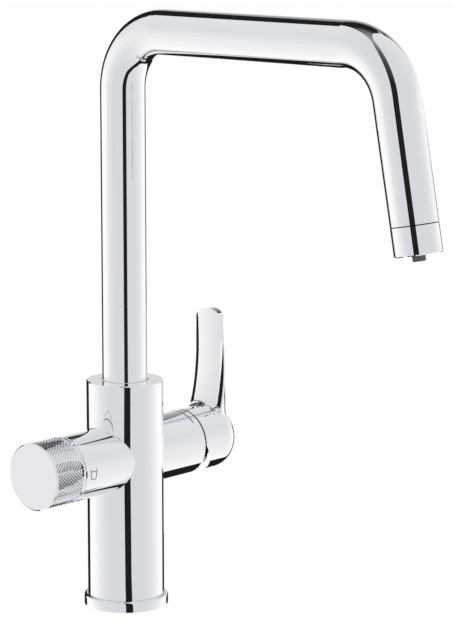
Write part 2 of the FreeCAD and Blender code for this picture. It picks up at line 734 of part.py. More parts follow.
# Spout

def draw_spout_line(sketch, foot, tail):
    """Centre line of the spout from a height in the body to a distance down the drop leg."""
    turn = (90.0 - d.drop_lean) / 2
    setback = d.bend_radius * tangent(turn)
    lean = sine(d.drop_lean)
    fall = cosine(d.drop_lean)
    draw(sketch, [
        (0, foot), (0, d.spout_height - d.bend_radius, d.bend_radius, -1),
        (d.bend_radius, d.spout_height),
        (d.corner_reach - setback, d.spout_height, d.bend_radius, -1),
        (d.corner_reach + setback * lean, d.spout_height - setback * fall),
        (d.corner_reach + tail * lean, d.spout_height - tail * fall)], closed=False)


def make_bent_tube(label, outside, wall, foot, tail):
    """Tube of round section along the spout's centre line."""
    body = new_body(label)
    section = add_sketch(body, "XY_Plane", along=foot)
    draw_circle(section, outside)
    draw_circle(section, outside - 2 * wall)
    line = add_sketch(body, "YZ_Plane")
    draw_spout_line(line, foot, tail)
    doc.recompute()
    pipe = body.newObject("PartDesign::AdditivePipe", "AdditivePipe")
    pipe.Profile = section
    pipe.Spine = (line, ["Edge%d" % number for number in range(1, 6)])
    doc.recompute()
    on_spout(body)


def make_spout_tube():
    make_bent_tube("spout_tube", d.tube_diameter, d.tube_wall, d.tube_foot,
                   d.drop_length - d.sleeve_length)


def make_filter_tube():
    end = d.nozzle_top - d.nozzle_socket
    make_bent_tube("filtered_water_tube", d.filter_tube, d.filter_tube_wall,
                   d.filter_tube_foot, d.drop_length - end)


# Outlet: modelled upright with the end of the sleeve at height 0

def make_outlet_sleeve():
    body = new_body("outlet_sleeve")
    outer = d.tube_diameter / 2
    bore = d.sleeve_bore / 2
    lip = d.lip_bore / 2
    turn_solid(body, "V_Axis", [
        (lip, 0), (outer - d.edge_chamfer, 0), (outer, d.edge_chamfer),
        (outer, d.sleeve_length - d.sleeve_groove), (outer - d.sleeve_groove, d.sleeve_length),
        (bore, d.sleeve_length), (bore, d.sleeve_lip), (lip, d.sleeve_lip)])
    on_outlet(body)


def make_outlet_bush():
    body = new_body("outlet_bush")
    grip = d.tube_diameter / 2 - d.tube_wall
    bore = d.bush_bore / 2
    low = d.sleeve_lip + d.aerator_flange + d.outlet_seal
    high = d.sleeve_length + d.bush_grip
    turn_solid(body, "V_Axis", [(bore, low), (grip, low), (grip, high), (bore, high)])
    on_outlet(body)


def make_outlet_washer():
    body = new_body("aerator_washer")
    outer = d.sleeve_bore / 2 - d.aerator_gap
    bore = d.bush_bore / 2
    low = d.sleeve_lip + d.aerator_flange
    turn_solid(body, "V_Axis", [
        (bore, low), (outer, low), (outer, low + d.outlet_seal), (bore, low + d.outlet_seal)])
    on_outlet(body)


def make_aerator():
    """Aerator insert with a ring of stream holes."""
    body = new_body("aerator_insert")
    hole = d.nozzle_stem / 2 + d.aerator_gap
    face = d.lip_bore / 2 - d.aerator_gap
    flange = d.sleeve_bore / 2 - d.aerator_gap
    cage = d.aerator_cage / 2
    low = d.edge_chamfer
    flange_top = d.sleeve_lip + d.aerator_flange
    turn_solid(body, "V_Axis", [
        (hole, low), (face, low), (face, d.sleeve_lip), (flange, d.sleeve_lip),
        (flange, flange_top), (cage, flange_top), (cage, d.aerator_height),
        (hole, d.aerator_height)])
    sketch = add_sketch(body, "XY_Plane")
    draw_circle(sketch, d.aerator_hole, (hole + cage) / 2)
    before = body.Shape.Volume
    pocket = push_solid(body, sketch, d.aerator_height * 2, kind="Pocket", back=True)
    pattern = body.newObject("PartDesign::PolarPattern", "PolarPattern")
    pattern.Originals = [pocket]
    pattern.Axis = (sketch, ["N_Axis"])
    pattern.Angle = 360
    pattern.setExpression("Occurrences", d.aerator_holes.text)
    body.Tip = pattern
    doc.recompute()
    if body.Shape.Volume > before - 1:
        raise RuntimeError("the aerator has no holes")
    on_outlet(body)


def make_nozzle():
    """Square filtered-water nozzle in the middle of the outlet."""
    body = new_body("filter_nozzle")
    stem = d.nozzle_stem / 2
    collar = d.nozzle_collar / 2
    socket = d.filter_tube / 2 + d.pin_gap
    bore = d.nozzle_bore / 2
    floor = d.nozzle_top - d.nozzle_socket
    turn_solid(body, "V_Axis", [
        (bore, 0), (stem, 0), (stem, d.aerator_height), (collar, d.aerator_height),
        (collar, d.nozzle_top), (socket, d.nozzle_top), (socket, floor), (bore, floor)])
    sketch = add_sketch(body, "XY_Plane")
    draw(sketch, box_corners(d.nozzle_square, d.nozzle_square))
    draw_circle(sketch, d.nozzle_bore)
    push_solid(body, sketch, d.nozzle_proud, back=True)
    on_outlet(body)


# Mixer cartridge: modelled about X, stations measured from the body axis

def pivot():
    """Body axis to the pin that the lever tilts on."""
    return d.lever_seam


def disc_start():
    """Body axis to the inner face of the fixed ceramic disc."""
    return d.mixer_floor + d.cartridge_foot


def carrier_start():
    """Body axis to the inner face of the disc carrier."""
    return disc_start() + 2 * d.disc_thickness


def tongue_start():
    """Body axis to the foot of the disc carrier's tongue."""
    return carrier_start() + d.carrier_height


def tongue_end():
    """Body axis to the end of the disc carrier's tongue."""
    return tongue_start() + d.tongue_height


def sleeve_start():
    """Body axis to the inner end of the turning sleeve."""
    return tongue_start() + d.slide_gap


def sleeve_shoulder():
    """Body axis to the step inside the housing that holds the turning sleeve."""
    return sleeve_start() + d.sleeve_flange + d.slide_gap


def port_places():
    """Cartridge ports as (along Y, above the arm axis, diameter)."""
    apart = d.mix_port_apart / 2
    return [(apart, -d.water_rise, d.drilling), (-apart, -d.water_rise, d.drilling),
            (0.0, d.mixed_rise, d.mixed_drilling)]


def make_cartridge_base():
    body = new_body("cartridge_base")
    outer = d.cartridge_diameter / 2
    turn_solid(body, "H_Axis", [
        (d.mixer_floor, 0), (d.mixer_floor, outer), (disc_start(), outer), (disc_start(), 0)])
    for across, up, diameter in port_places():
        drill(body, "YZ_Plane", diameter, d.cartridge_foot, d.mixer_floor, across, up, back=True)
        seat = diameter + 2 * d.port_seal_width
        drill(body, "YZ_Plane", seat, d.port_seal_height, d.mixer_floor, across, up, back=True)
    on_lever_arm(body)


def make_port_seals():
    rings = []
    for across, up, diameter in port_places():
        ring = doc.addObject("Part::Cut", "port_seal")
        ring.Base = round_bar("port_seal_rim", diameter / 2 + d.port_seal_width, d.port_seal_height)
        ring.Tool = round_bar("port_seal_bore", diameter / 2, d.port_seal_height)
        place(ring, (0, 1, 0), 90.0, d.mixer_floor, across, d.arm_height + up)
        rings.append(ring)
    group("cartridge_port_seals", rings)


def make_fixed_disc():
    body = new_body("fixed_ceramic_disc")
    outer = d.fixed_disc / 2
    end = disc_start() + d.disc_thickness
    turn_solid(body, "H_Axis", [
        (disc_start(), 0), (disc_start(), outer), (end, outer), (end, 0)])
    for across, up, diameter in port_places():
        drill(body, "YZ_Plane", diameter, d.disc_thickness, disc_start(), across, up, back=True)
    on_lever_arm(body)


def slide_middle():
    """Height of the moving disc below the arm axis with the lever closed."""
    return -d.disc_travel / 2


def make_moving_disc():
    """Ceramic disc with the mixing hollow in its lower face."""
    body = new_body("moving_ceramic_disc")
    start = disc_start() + d.disc_thickness
    sketch = add_sketch(body, "YZ_Plane", along=start)
    draw_circle(sketch, d.moving_disc, 0.0, slide_middle())
    push_solid(body, sketch, d.disc_thickness)
    drill(body, "YZ_Plane", d.moving_disc / 2, d.disc_thickness / 2, start, 0.0, slide_middle(), True)
    on_lever_arm(body)


def make_disc_carrier():
    """Carrier with a tongue that the turning sleeve guides and a socket for the spindle."""
    body = new_body("disc_carrier")
    plate = add_sketch(body, "YZ_Plane", along=carrier_start())
    draw_circle(plate, d.moving_disc, 0.0, slide_middle())
    push_solid(body, plate, d.carrier_height)
    tongue = add_sketch(body, "YZ_Plane", along=tongue_start())
    draw(tongue, box_corners(d.tongue_width, d.tongue_length))
    push_solid(body, tongue, d.tongue_height)
    depth = d.carrier_height + d.tongue_height
    socket = d.spindle_ball + d.slide_gap
    drill(body, "YZ_Plane", socket, depth, carrier_start(), 0.0, 0.0, back=True)
    on_lever_arm(body)


def make_cartridge_housing():
    body = new_body("cartridge_housing")
    outer = d.cartridge_diameter / 2
    bore = outer - d.cartridge_wall
    flange = d.flange_diameter / 2
    guide = d.sleeve_diameter / 2 + d.slide_gap
    neck = guide + d.cartridge_wall
    turn_solid(body, "H_Axis", [
        (disc_start(), bore), (disc_start(), outer), (flange_start(), outer),
        (flange_start(), flange), (flange_end(), flange), (flange_end(), neck),
        (d.cartridge_reach, neck), (d.cartridge_reach, guide), (sleeve_shoulder(), guide),
        (sleeve_shoulder(), bore)])
    on_lever_arm(body)


def make_turning_sleeve():
    """Sleeve that turns with the lever; slots guide the disc carrier and let the spindle tilt."""
    body = new_body("turning_sleeve")
    outer = d.sleeve_diameter / 2
    flange = d.cartridge_diameter / 2 - d.cartridge_wall - d.slide_gap
    step = sleeve_start() + d.sleeve_flange
    turn_solid(body, "H_Axis", [
        (sleeve_start(), 0), (sleeve_start(), flange), (step, flange), (step, outer),
        (d.cartridge_reach, outer), (d.cartridge_reach, 0)])
    length = d.cartridge_reach - sleeve_start()
    slot = add_sketch(body, "YZ_Plane", along=sleeve_start())
    draw(slot, box_corners(d.spindle_width + 2 * d.slide_gap, d.sleeve_slot))
    push_solid(body, slot, length, kind="Pocket", back=True)
    guide = add_sketch(body, "YZ_Plane", along=sleeve_start())
    draw(guide, box_corners(d.tongue_width + 2 * d.slide_gap, d.cartridge_diameter))
    push_solid(body, guide, tongue_end() - tongue_start(), kind="Pocket", back=True)
    pin = add_sketch(body, "XZ_Plane")
    draw_circle(pin, d.pin_diameter, pivot())
    push_solid(body, pin, d.cartridge_diameter, kind="Pocket", both=True)
    on_lever_arm(body)


def make_lever_spindle():
    """Flat bar on the pin, with a ball end that pushes the disc carrier."""
    body = new_body("lever_spindle")
    start = pivot() - d.spindle_height / 2
    bar = add_sketch(body, "YZ_Plane", along=start)
    draw(bar, box_corners(d.spindle_width, d.spindle_height))
    push_solid(body, bar, d.spindle_reach - start)
    middle = pivot() - d.ball_arm
    ball = d.spindle_ball / 2
    neck = d.spindle_neck / 2
    turn_solid(body, "H_Axis", [
        (middle - ball, 0, ball, -1), (middle, ball, ball, -1), (middle + ball - neck / 2, neck),
        (start - neck, neck), (start, d.spindle_width / 2), (start + neck, d.spindle_width / 2),
        (start + neck, 0)])
    hole = add_sketch(body, "XZ_Plane")
    draw_circle(hole, d.pin_diameter + 2 * d.pin_gap, pivot())
    push_solid(body, hole, d.cartridge_diameter, kind="Pocket", both=True)
    on_lever_arm(body)


def make_spindle_pin():
    pin = round_bar("spindle_pin", d.pin_diameter / 2, d.pin_length)
    place(pin, (-1, 0, 0), 90.0, pivot(), -d.pin_length / 2, d.arm_height)
    pieces.append(pin)


def make_cartridge_nut():
    body = new_body("cartridge_nut")
    rim = d.mouth_diameter / 2
    neck = d.nut_neck / 2
    bore = d.nut_bore / 2
    shoulder = flange_end() + d.nut_height
    end = shoulder + d.nut_neck_length
    turn_solid(body, "H_Axis", [
        (flange_end(), bore), (flange_end(), rim), (shoulder, rim), (shoulder, neck),
        (end, neck), (end, bore)])
    on_lever_arm(body)


def make_cover_cap():
    """Chrome dome, round about the tilt pin, that closes the arm under the lever."""
    body = new_body("cover_cap")
    outer = d.mouth_diameter / 2
    inner = outer - d.cap_wall
    start = flange_end() + d.nut_height
    hole = d.cap_hole / 2
    outer_end = pivot() + root_of_difference(outer, hole)
    inner_end = pivot() + root_of_difference(inner, hole)
    turn_solid(body, "H_Axis", [
        (start, inner), (start, outer), (pivot(), outer, outer, -1), (outer_end, hole),
        (inner_end, hole, inner, 1), (pivot(), inner)])
    on_lever_arm(body)


def root_of_difference(longer, shorter):
    """Third side of a right-angled triangle from its longest side and another."""
    value = math.sqrt(longer.value ** 2 - shorter.value ** 2)
    text = "sqrt(" + (longer * longer - shorter * shorter).text + ")"
    return Size(value, text)


# Lever

def blade_sections():
    """Sections of the lever as (above the arm axis, back from the hub's end, thickness, width, edge)."""
    hub = d.arm_diameter / 2
    return [
        (hub - d.root_depth, d.root_back, d.root_thickness, d.root_width, d.root_edge),
        (hub + d.neck_rise, d.neck_back, d.neck_thickness, d.neck_width, d.neck_edge),
        (d.waist_height, d.waist_back, d.waist_thickness, d.waist_width, d.waist_edge),
        (d.blade_height, d.blade_back, d.blade_thickness, d.blade_width, d.blade_edge),
        (d.tip_height, d.tip_back, d.tip_thickness, d.blade_width, d.tip_edge)]


def blade_outline(inner, thickness, width, edge):
    """Lens-shaped section: a nearly flat inner face, rounded edges and a full outer side."""
    half = width / 2
    rise = thickness - edge
    outer_round = (half * half + rise * rise) / (2 * rise)
    return [
        (inner, -half, edge, 1), (inner + edge, -half, outer_round, 1),
        (inner + edge, half, edge, 1), (inner, half, d.face_crown, 1)]


def blend_lever(body):
    """Fillet the crease where the blade leaves the hub."""
    solid = body.Tip
    crease = []
    for number, edge in enumerate(solid.Shape.Edges, 1):
        kinds = {type(face.Surface) for face in solid.Shape.ancestorsOfType(edge, Part.Face)}
        if Part.BSplineSurface in kinds and len(kinds) == 2 and Part.Plane not in kinds:
            crease.append("Edge%d" % number)
    fillet = body.newObject("PartDesign::Fillet", "Fillet")
    fillet.Base = (solid, crease)
    fillet.setExpression("Radius", d.lever_blend.text)
    doc.recompute()


def make_lever_handle():
    """Hub with a domed end that grows into a flat blade; hollow over the cover cap."""
    body = new_body("lever_handle")
    rim = d.lever_seam + d.lever_gap
    outer = d.arm_diameter / 2
    dome = d.lever_reach - d.lever_round
    turn_solid(body, "H_Axis", [
        (rim, 0), (rim, -outer), (dome, -outer, d.lever_round, 1),
        (d.lever_reach, d.lever_round - outer), (d.lever_reach, 0)])
    sketches = []
    for up, back, thickness, width, edge in blade_sections():
        sketch = add_sketch(body, "XY_Plane", along=up)
        draw(sketch, blade_outline(d.lever_reach - back, thickness, width, edge))
        sketches.append(sketch)
    doc.recompute()
    loft = body.newObject("PartDesign::AdditiveLoft", "AdditiveLoft")
    loft.Profile = sketches[0]
    loft.Sections = sketches[1:]
    doc.recompute()
    blend_lever(body)
    round_lever_tip(body)
    hollow_lever(body)
    on_lever_arm(body)


def round_lever_tip(body):
    """Round the upper end of the blade to an arch."""
    half = d.blade_width / 2
    spring = d.tip_height - d.tip_crown + root_of_difference(d.tip_crown, half)
    over = half + d.edge_chamfer
    above = d.tip_height + d.edge_chamfer
    sketch = add_sketch(body, "YZ_Plane")
    draw(sketch, [
        (half, spring, d.tip_crown, 1), (-half, spring), (-over, spring), (-over, above),
        (over, above), (over, spring)])
    before = body.Shape.Volume
    push_solid(body, sketch, d.lever_reach, kind="Pocket", back=True)
    if body.Shape.Volume > before - 1:
        raise RuntimeError("the lever tip is not rounded")


def hollow_lever(body):
    """Cut the dome space, the slanted lower rim, the spindle socket and the screw hole."""
    rim = d.lever_seam + d.lever_gap
    outer = d.arm_diameter / 2
    space = d.mouth_diameter / 2 + d.lever_clearance
    mouth = pivot() + d.cut_over
    turn_solid(body, "H_Axis", [(rim, 0), (rim, space), (mouth, space), (mouth, 0)], "Groove")
    turn_solid(body, "H_Axis", [
        (pivot(), 0), (pivot(), space, space, -1), (pivot() + space, 0)], "Groove")
    reach = outer + d.lever_gap
    slant = add_sketch(body, "XZ_Plane")
    before = rim - d.cut_over
    draw(slant, [
        (rim, 0), (before, 0), (before, -reach), (rim + reach * tangent(d.lever_cut), -reach)])
    push_solid(body, slant, d.arm_diameter * 2, kind="Pocket", both=True)
    socket = add_sketch(body, "YZ_Plane", along=pivot())
    draw(socket, box_corners(d.spindle_width + 2 * d.pin_gap, d.spindle_height + 2 * d.pin_gap))
    push_solid(body, socket, d.spindle_reach - pivot() + d.pin_gap, kind="Pocket", back=True)
    drill(body, "XY_Plane", d.lever_screw, outer * 2, 0.0, d.lever_screw_across, 0.0)
    plug_end = outer - d.plug_height - d.edge_chamfer
    drill(body, "XY_Plane", d.plug_diameter, outer, -plug_end, d.lever_screw_across, 0.0)


def make_lever_screw():
    screw = round_bar("lever_screw", d.lever_screw / 2, d.lever_screw_length)
    low = d.arm_height - d.spindle_height / 2 - d.lever_screw_length
    place(screw, (0, 0, 1), 0.0, d.lever_screw_across, 0.0, low)
    pieces.append(screw)


def make_lever_plug():
    plug = round_bar("lever_plug", d.plug_diameter / 2, d.plug_height)
    low = d.arm_height - d.arm_diameter / 2 + d.edge_chamfer
    place(plug, (0, 0, 1), 0.0, d.lever_screw_across, 0.0, low)
    pieces.append(plug)


# Filter valve: modelled about X, turned round to the knob arm

HEX_SIDES = 6


def valve_start():
    """Body axis to the inner end of the filter valve."""
    return d.valve_floor + d.valve_setback


def valve_disc_start():
    """Body axis to the inner face of the valve's fixed disc."""
    return d.valve_floor + d.valve_seal


def drive_start():
    """Body axis to the drive disc of the valve spindle."""
    return valve_disc_start() + 2 * d.valve_disc


def drive_end():
    """Body axis to the outer face of that drive disc."""
    return drive_start() + d.stem_drive


def clip_start():
    """Body axis to the spindle clip."""
    return d.valve_reach + d.slide_gap


def bush_start():
    """Body axis to the inner end of the knob bush."""
    return clip_start() + d.clip_thickness + d.bush_gap


def knob_floor():
    """Body axis to the inner face of the knob's end wall."""
    return d.knob_reach - d.knob_end


def make_valve_seal():
    body = new_body("valve_seat_seal")
    outer = d.valve_bore / 2 - d.aerator_gap
    inner = d.valve_seal_bore / 2
    turn_solid(body, "H_Axis", [
        (d.valve_floor, inner), (d.valve_floor, outer), (valve_disc_start(), outer),
        (valve_disc_start(), inner)])
    on_knob_arm(body)


def make_valve_body():
    body = new_body("valve_body")
    nose = d.valve_nose / 2
    thread = d.valve_thread / 2
    neck = d.valve_neck / 2
    bore = d.valve_bore / 2
    stem = d.stem_diameter / 2 + d.stem_gap
    nose_end = valve_start() + d.valve_nose_length
    hex_end = d.valve_recess_floor + d.valve_hex_height
    bore_end = drive_end() + d.slide_gap
    turn_solid(body, "H_Axis", [
        (valve_start(), bore), (valve_start(), nose), (nose_end, nose), (nose_end, thread),
        (d.valve_recess_floor, thread), (d.valve_recess_floor, neck), (d.valve_reach, neck),
        (d.valve_reach, stem), (bore_end, stem), (bore_end, bore)])
    sketch = add_sketch(body, "YZ_Plane", along=d.valve_recess_floor)
    turns = [as_size(step * 360.0 / HEX_SIDES) for step in range(HEX_SIDES)]
    side = d.valve_hex / cosine(as_size(180.0 / HEX_SIDES)) / 2
    draw(sketch, [(side * cosine(turn), side * sine(turn)) for turn in turns])
    draw_circle(sketch, 2 * stem)
    push_solid(body, sketch, hex_end - d.valve_recess_floor)
    window = add_sketch(body, "XZ_Plane")
    draw_circle(window, d.valve_window, drive_start() + d.stem_drive / 2)
    push_solid(body, window, d.valve_thread, kind="Pocket", both=True)
    on_knob_arm(body)


def make_valve_disc(label, start):
    """Ceramic disc of the filter valve with two openings."""
    body = new_body(label)
    outer = d.valve_bore / 2 - d.aerator_gap
    end = start + d.valve_disc
    turn_solid(body, "H_Axis", [(start, 0), (start, outer), (end, outer), (end, 0)])
    opening = d.valve_bore / 4
    for side in (opening, -opening):
        drill(body, "YZ_Plane", opening, d.valve_disc, start, 0.0, side, back=True)
    on_knob_arm(body)


def make_valve_spindle():
    body = new_body("valve_spindle")
    drive = d.valve_bore / 2 - d.slide_gap
    stem = d.stem_diameter / 2
    end = bush_start() - d.slide_gap
    turn_solid(body, "H_Axis", [
        (drive_start(), 0), (drive_start(), drive), (drive_end(), drive), (drive_end(), stem),
        (end, stem), (end, 0)])
    square = add_sketch(body, "YZ_Plane", along=end)
    draw(square, box_corners(d.stem_square, d.stem_square))
    push_solid(body, square, d.stem_reach - end)
    low = stem - d.stem_seal_depth
    for step in range(2):
        middle = d.stem_seal_across + step * d.stem_seal_pitch
        start = middle - d.stem_seal_width / 2
        stop = middle + d.stem_seal_width / 2
        turn_solid(body, "H_Axis", [(start, low), (start, stem), (stop, stem), (stop, low)], "Groove")
    floor = stem - d.clip_depth
    stop = clip_start() + d.clip_thickness
    turn_solid(body, "H_Axis", [
        (clip_start(), floor), (clip_start(), stem), (stop, stem), (stop, floor)], "Groove")
    on_knob_arm(body)


def make_stem_seals():
    depth = d.stem_seal_depth + d.stem_gap
    middle = d.stem_diameter / 2 + d.stem_gap - depth / 2
    rings = []
    for step in range(2):
        ring = o_ring("valve_o_ring", middle, depth / 2 - d.seal_ease)
        across = -d.stem_seal_across - step * d.stem_seal_pitch
        place(ring, (0, 1, 0), 90.0, across, 0.0, d.arm_height)
        rings.append(ring)
    group("valve_o_rings", rings)


def make_spindle_clip():
    body = new_body("spindle_clip")
    inner = d.stem_diameter / 2 - d.clip_depth
    outer = d.clip_diameter / 2
    stop = clip_start() + d.clip_thickness
    turn_solid(body, "H_Axis", [
        (clip_start(), inner), (clip_start(), outer), (stop, outer), (stop, inner)])
    on_knob_arm(body)


def make_knob_bush():
    body = new_body("knob_bush")
    sketch = add_sketch(body, "YZ_Plane", along=bush_start())
    draw_circle(sketch, d.bush_diameter)
    draw(sketch, box_corners(d.stem_square + 2 * d.pin_gap, d.stem_square + 2 * d.pin_gap))
    push_solid(body, sketch, knob_floor() - bush_start())
    on_knob_arm(body)


def make_filter_knob():
    body = new_body("filter_knob")
    outer = d.knob_diameter / 2
    inner = outer - d.knob_wall
    boss = d.knob_boss / 2
    bore = d.bush_diameter / 2
    rim = d.knob_seam + d.knob_gap
    turn_solid(body, "H_Axis", [
        (rim, inner), (rim, outer), (d.knob_reach - d.knob_chamfer, outer),
        (d.knob_reach, outer - d.knob_chamfer), (d.knob_reach, 0), (knob_floor(), 0),
        (knob_floor(), bore), (bush_start(), bore), (bush_start(), boss), (knob_floor(), boss),
        (knob_floor(), inner)])
    on_knob_arm(body)


def write_parts():
    """Check every object and write one STEP file per sub-part."""
    doc.recompute()
    for thing in doc.Objects:
        if "Invalid" in thing.State or "Error" in thing.State:
            raise RuntimeError(thing.Label + " failed: " + str(thing.State))
    os.makedirs("parts", exist_ok=True)
    for piece in pieces:
        if piece.Shape.isNull() or not piece.Shape.isValid():
            raise RuntimeError(piece.Label + " has no valid shape")
        piece.Shape.exportStep("parts/" + piece.Label + ".step")


make_base_ring()
make_base_gasket()
make_main_body()
make_upper_glide_ring()
make_lower_glide_ring()
make_spout_spigot()
make_spout_seals()
make_stop_screw()
make_tube_seal()
make_spout_tube()
make_filter_tube()
make_outlet_sleeve()
make_outlet_bush()
make_outlet_washer()
make_aerator()
make_nozzle()
make_cartridge_base()
make_port_seals()
make_fixed_disc()
make_moving_disc()
make_disc_carrier()
make_cartridge_housing()
make_turning_sleeve()
make_lever_spindle()
make_spindle_pin()
make_cartridge_nut()
make_cover_cap()
make_lever_handle()
make_lever_screw()
make_lever_plug()
make_valve_seal()
make_valve_body()
make_valve_disc("valve_fixed_disc", valve_disc_start())
make_valve_disc("valve_moving_disc", valve_disc_start() + d.valve_disc)
make_valve_spindle()
make_stem_seals()
make_spindle_clip()
make_knob_bush()
make_filter_knob()
write_parts()
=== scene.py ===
"""Looks of a kitchen mixer tap: chrome, inner parts, a knurled knob, printed signs and a white studio.

The file is laid out as an add-on. All lengths are metres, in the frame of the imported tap: +Z up, the spout
towards -Y, the mixer lever on +X and the filtered-water knob on -X.
"""

from math import asin, atan2, cos, pi, radians, sin

import bmesh
import bpy
from mathutils import Matrix, Vector


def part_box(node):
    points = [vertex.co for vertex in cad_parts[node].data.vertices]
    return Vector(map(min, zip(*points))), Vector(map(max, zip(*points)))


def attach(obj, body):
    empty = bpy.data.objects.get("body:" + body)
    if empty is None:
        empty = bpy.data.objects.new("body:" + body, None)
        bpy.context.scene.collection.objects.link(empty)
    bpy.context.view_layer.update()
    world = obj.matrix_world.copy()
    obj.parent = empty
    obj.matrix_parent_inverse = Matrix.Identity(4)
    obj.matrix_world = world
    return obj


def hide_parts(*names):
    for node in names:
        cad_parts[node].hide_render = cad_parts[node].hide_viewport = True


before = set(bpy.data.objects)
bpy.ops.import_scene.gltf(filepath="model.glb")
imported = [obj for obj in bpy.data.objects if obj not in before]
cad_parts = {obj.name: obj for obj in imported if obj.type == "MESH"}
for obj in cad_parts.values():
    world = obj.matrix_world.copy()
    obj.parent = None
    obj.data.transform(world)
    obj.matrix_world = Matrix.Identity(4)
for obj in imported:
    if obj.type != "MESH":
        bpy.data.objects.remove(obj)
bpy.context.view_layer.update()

bl_info = {
    "name": "Kitchen mixer tap",
    "version": (1, 0, 0),
    "blender": (4, 5, 0),
    "location": "View3D > Sidebar > Tap",
    "description": "Dresses a kitchen mixer tap in its finishes and sets it in a white studio",
    "category": "Object",
}

MM = 0.001
UP = Vector((0, 0, 1))
ALONG_ARMS = Vector((1, 0, 0))
# Places closer than this count as the same
TOUCH = 0.01 * MM
# Points closer than this are merged into one
MERGE = 0.002 * MM

# Places read from the frame

KNOB_LOW, KNOB_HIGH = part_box("filter_knob")
KNOB_RADIUS = (KNOB_HIGH.z - KNOB_LOW.z) / 2
BUSH_LOW, BUSH_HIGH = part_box("knob_bush")
BUSH_RADIUS = (BUSH_HIGH.y - BUSH_LOW.y) / 2
BODY_LOW, BODY_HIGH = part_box("main_body")
ARM_AXIS = Vector((0, 0, (KNOB_LOW.z + KNOB_HIGH.z) / 2))
# Length at the end of the lever arm where the arms' radius is read
ARM_SAMPLE = 10 * MM
# Lean of the drop leg, as in the CAD
SLEEVE_LEAN = radians(10.9)
SLEEVE_WAY = Vector((0, sin(SLEEVE_LEAN), cos(SLEEVE_LEAN)))


def points_of(node):
    """The points of a CAD node's mesh."""
    return [vert.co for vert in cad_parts[node].data.vertices]


def spoke(point):
    """The way to a point from the arms' axis, square to that axis."""
    return (point - ARM_AXIS) * Vector((0, 1, 1))


ARM_RADIUS = max(spoke(p).length for p in points_of("main_body") if p.x > BODY_HIGH.x - ARM_SAMPLE)
SLEEVE_END = max(p.dot(SLEEVE_WAY) for p in points_of("outlet_sleeve"))


# Sizes and colours that a user would change

def linear(code):
    """Turn an sRGB colour written as hex into linear red, green and blue."""
    parts = [int(code[k:k + 2], 16) / 255 for k in (0, 2, 4)]
    return tuple(p / 12.92 if p <= 0.04045 else ((p + 0.055) / 1.055) ** 2.4 for p in parts)


def opaque(code):
    """The same with a full alpha, as shader sockets take it."""
    return (*linear(code), 1.0)


def length(name, description, default):
    """A length in metres."""
    return bpy.props.FloatProperty(
        name=name, description=description, default=default, unit="LENGTH", precision=5)


def angle(name, description, default):
    """An angle written in degrees."""
    return bpy.props.FloatProperty(
        name=name, description=description, default=radians(default), subtype="ANGLE")


def colour(name, description, default):
    """A colour written as sRGB hex."""
    return bpy.props.FloatVectorProperty(
        name=name, description=description, default=linear(default), subtype="COLOR", min=0, max=1)


class TapSizes(bpy.types.PropertyGroup):
    """Sizes of the pieces that are modelled here."""
    knob_wall: length("Knob wall", "Thickness of the knob's skirt", 2.3 * MM)
    knob_boss: length("Knob boss", "Radius of the boss round the bush", 11.0 * MM)
    knob_chamfer: length("Knob chamfer", "Chamfer round the knob's face", 0.7 * MM)
    knob_rim: length("Knob rim", "Plain band between the knurl and the shadow groove", 0.9 * MM)
    groove_width: length("Groove width", "Shadow groove between the knob's rim and the arm", 0.6 * MM)
    groove_depth: length("Groove depth", "Depth of the shadow groove", 1.2 * MM)
    knob_land: length("Knob land", "Plain band between the knurl and the face", 0.5 * MM)
    knurl_depth: length("Knurl depth", "Peak to groove", 0.9 * MM)
    knurl_step: length("Knurl step", "Half the length of one diamond along the knob", 1.1 * MM)
    knurl_count: bpy.props.IntProperty(
        name="Knurl count", description="Diamonds round the knob", default=57, min=12)
    # Width of the band of painted shade along the outlet sleeve's top edge, in its seam
    seam_shade_width: length("Seam edge", "Unplated edge of the outlet sleeve in its seam", 0.6 * MM)
    ink_height: length("Ink height", "How far a printed sign stands proud of the metal", 0.03 * MM)
    arc_place: length("Arc place", "Middle of the temperature arcs, from the end of the lever arm", 4.9 * MM)
    arc_width: length("Arc width", "Line of the temperature arcs", 1.1 * MM)
    arc_split: angle("Arc split", "Where cold meets hot, from the top towards the front", 12.0)
    arc_gap: angle("Arc gap", "Half the gap between the two arcs", 0.8)
    arc_sweep: angle("Arc sweep", "Angle of each arc", 31.0)
    sign_place: length("Sign place", "Middle of the tumbler sign, from the end of the knob arm", 5.8 * MM)
    sign_lift: length("Sign lift", "Middle of the tumbler sign above the arm's axis", -0.6 * MM)
    sign_top: length("Sign top", "Width of the tumbler sign at its top", 5.6 * MM)
    sign_foot: length("Sign foot", "Width of the tumbler sign at its foot", 4.0 * MM)
    sign_tall: length("Sign height", "Height of the tumbler sign", 6.4 * MM)
    sign_line: length("Sign line", "Line of the tumbler sign", 0.5 * MM)
    sign_water: length("Water line", "Water line below the top of the tumbler", 1.0 * MM)


class TapColours(bpy.types.PropertyGroup):
    """Colours of the finishes."""
    chrome: colour("Chrome", "Polished chrome plate", "FCFDFD")
    satin: colour("Satin chrome", "Brushed face of the knob", "FAFAFC")
    brass: colour("Brass", "Turned brass", "D9B872")
    steel: colour("Steel", "Turned stainless steel", "C9CBCE")
    # This dark colour is also painted as shade in the sleeve's seam and in the knob's shadow groove
    zinc_and_painted_shade: colour("Zinc", "Passivated zinc that chrome doesn't cover", "3C3D40")
    rubber: colour("Rubber", "Seals and gasket", "1E1F21")
    acetal: colour("White acetal", "Glide rings, filter tube, aerator insert and bush", "E4E5E4")
    nozzle: colour("Dark grey plastic", "Filtered-water nozzle and lever plug", "55585C")
    cartridge: colour("Cartridge plastic", "Mixing cartridge", "5B7E99")
    ceramic: colour("Ceramic", "Lapped discs", "F1F0EA")
    hot: colour("Hot ink", "Arc on the hot side", "C8433C")
    cold: colour("Cold ink", "Arc on the cold side", "2787BC")
    sign: colour("Sign ink", "Tumbler sign", "5E666C")


# Shader nodes

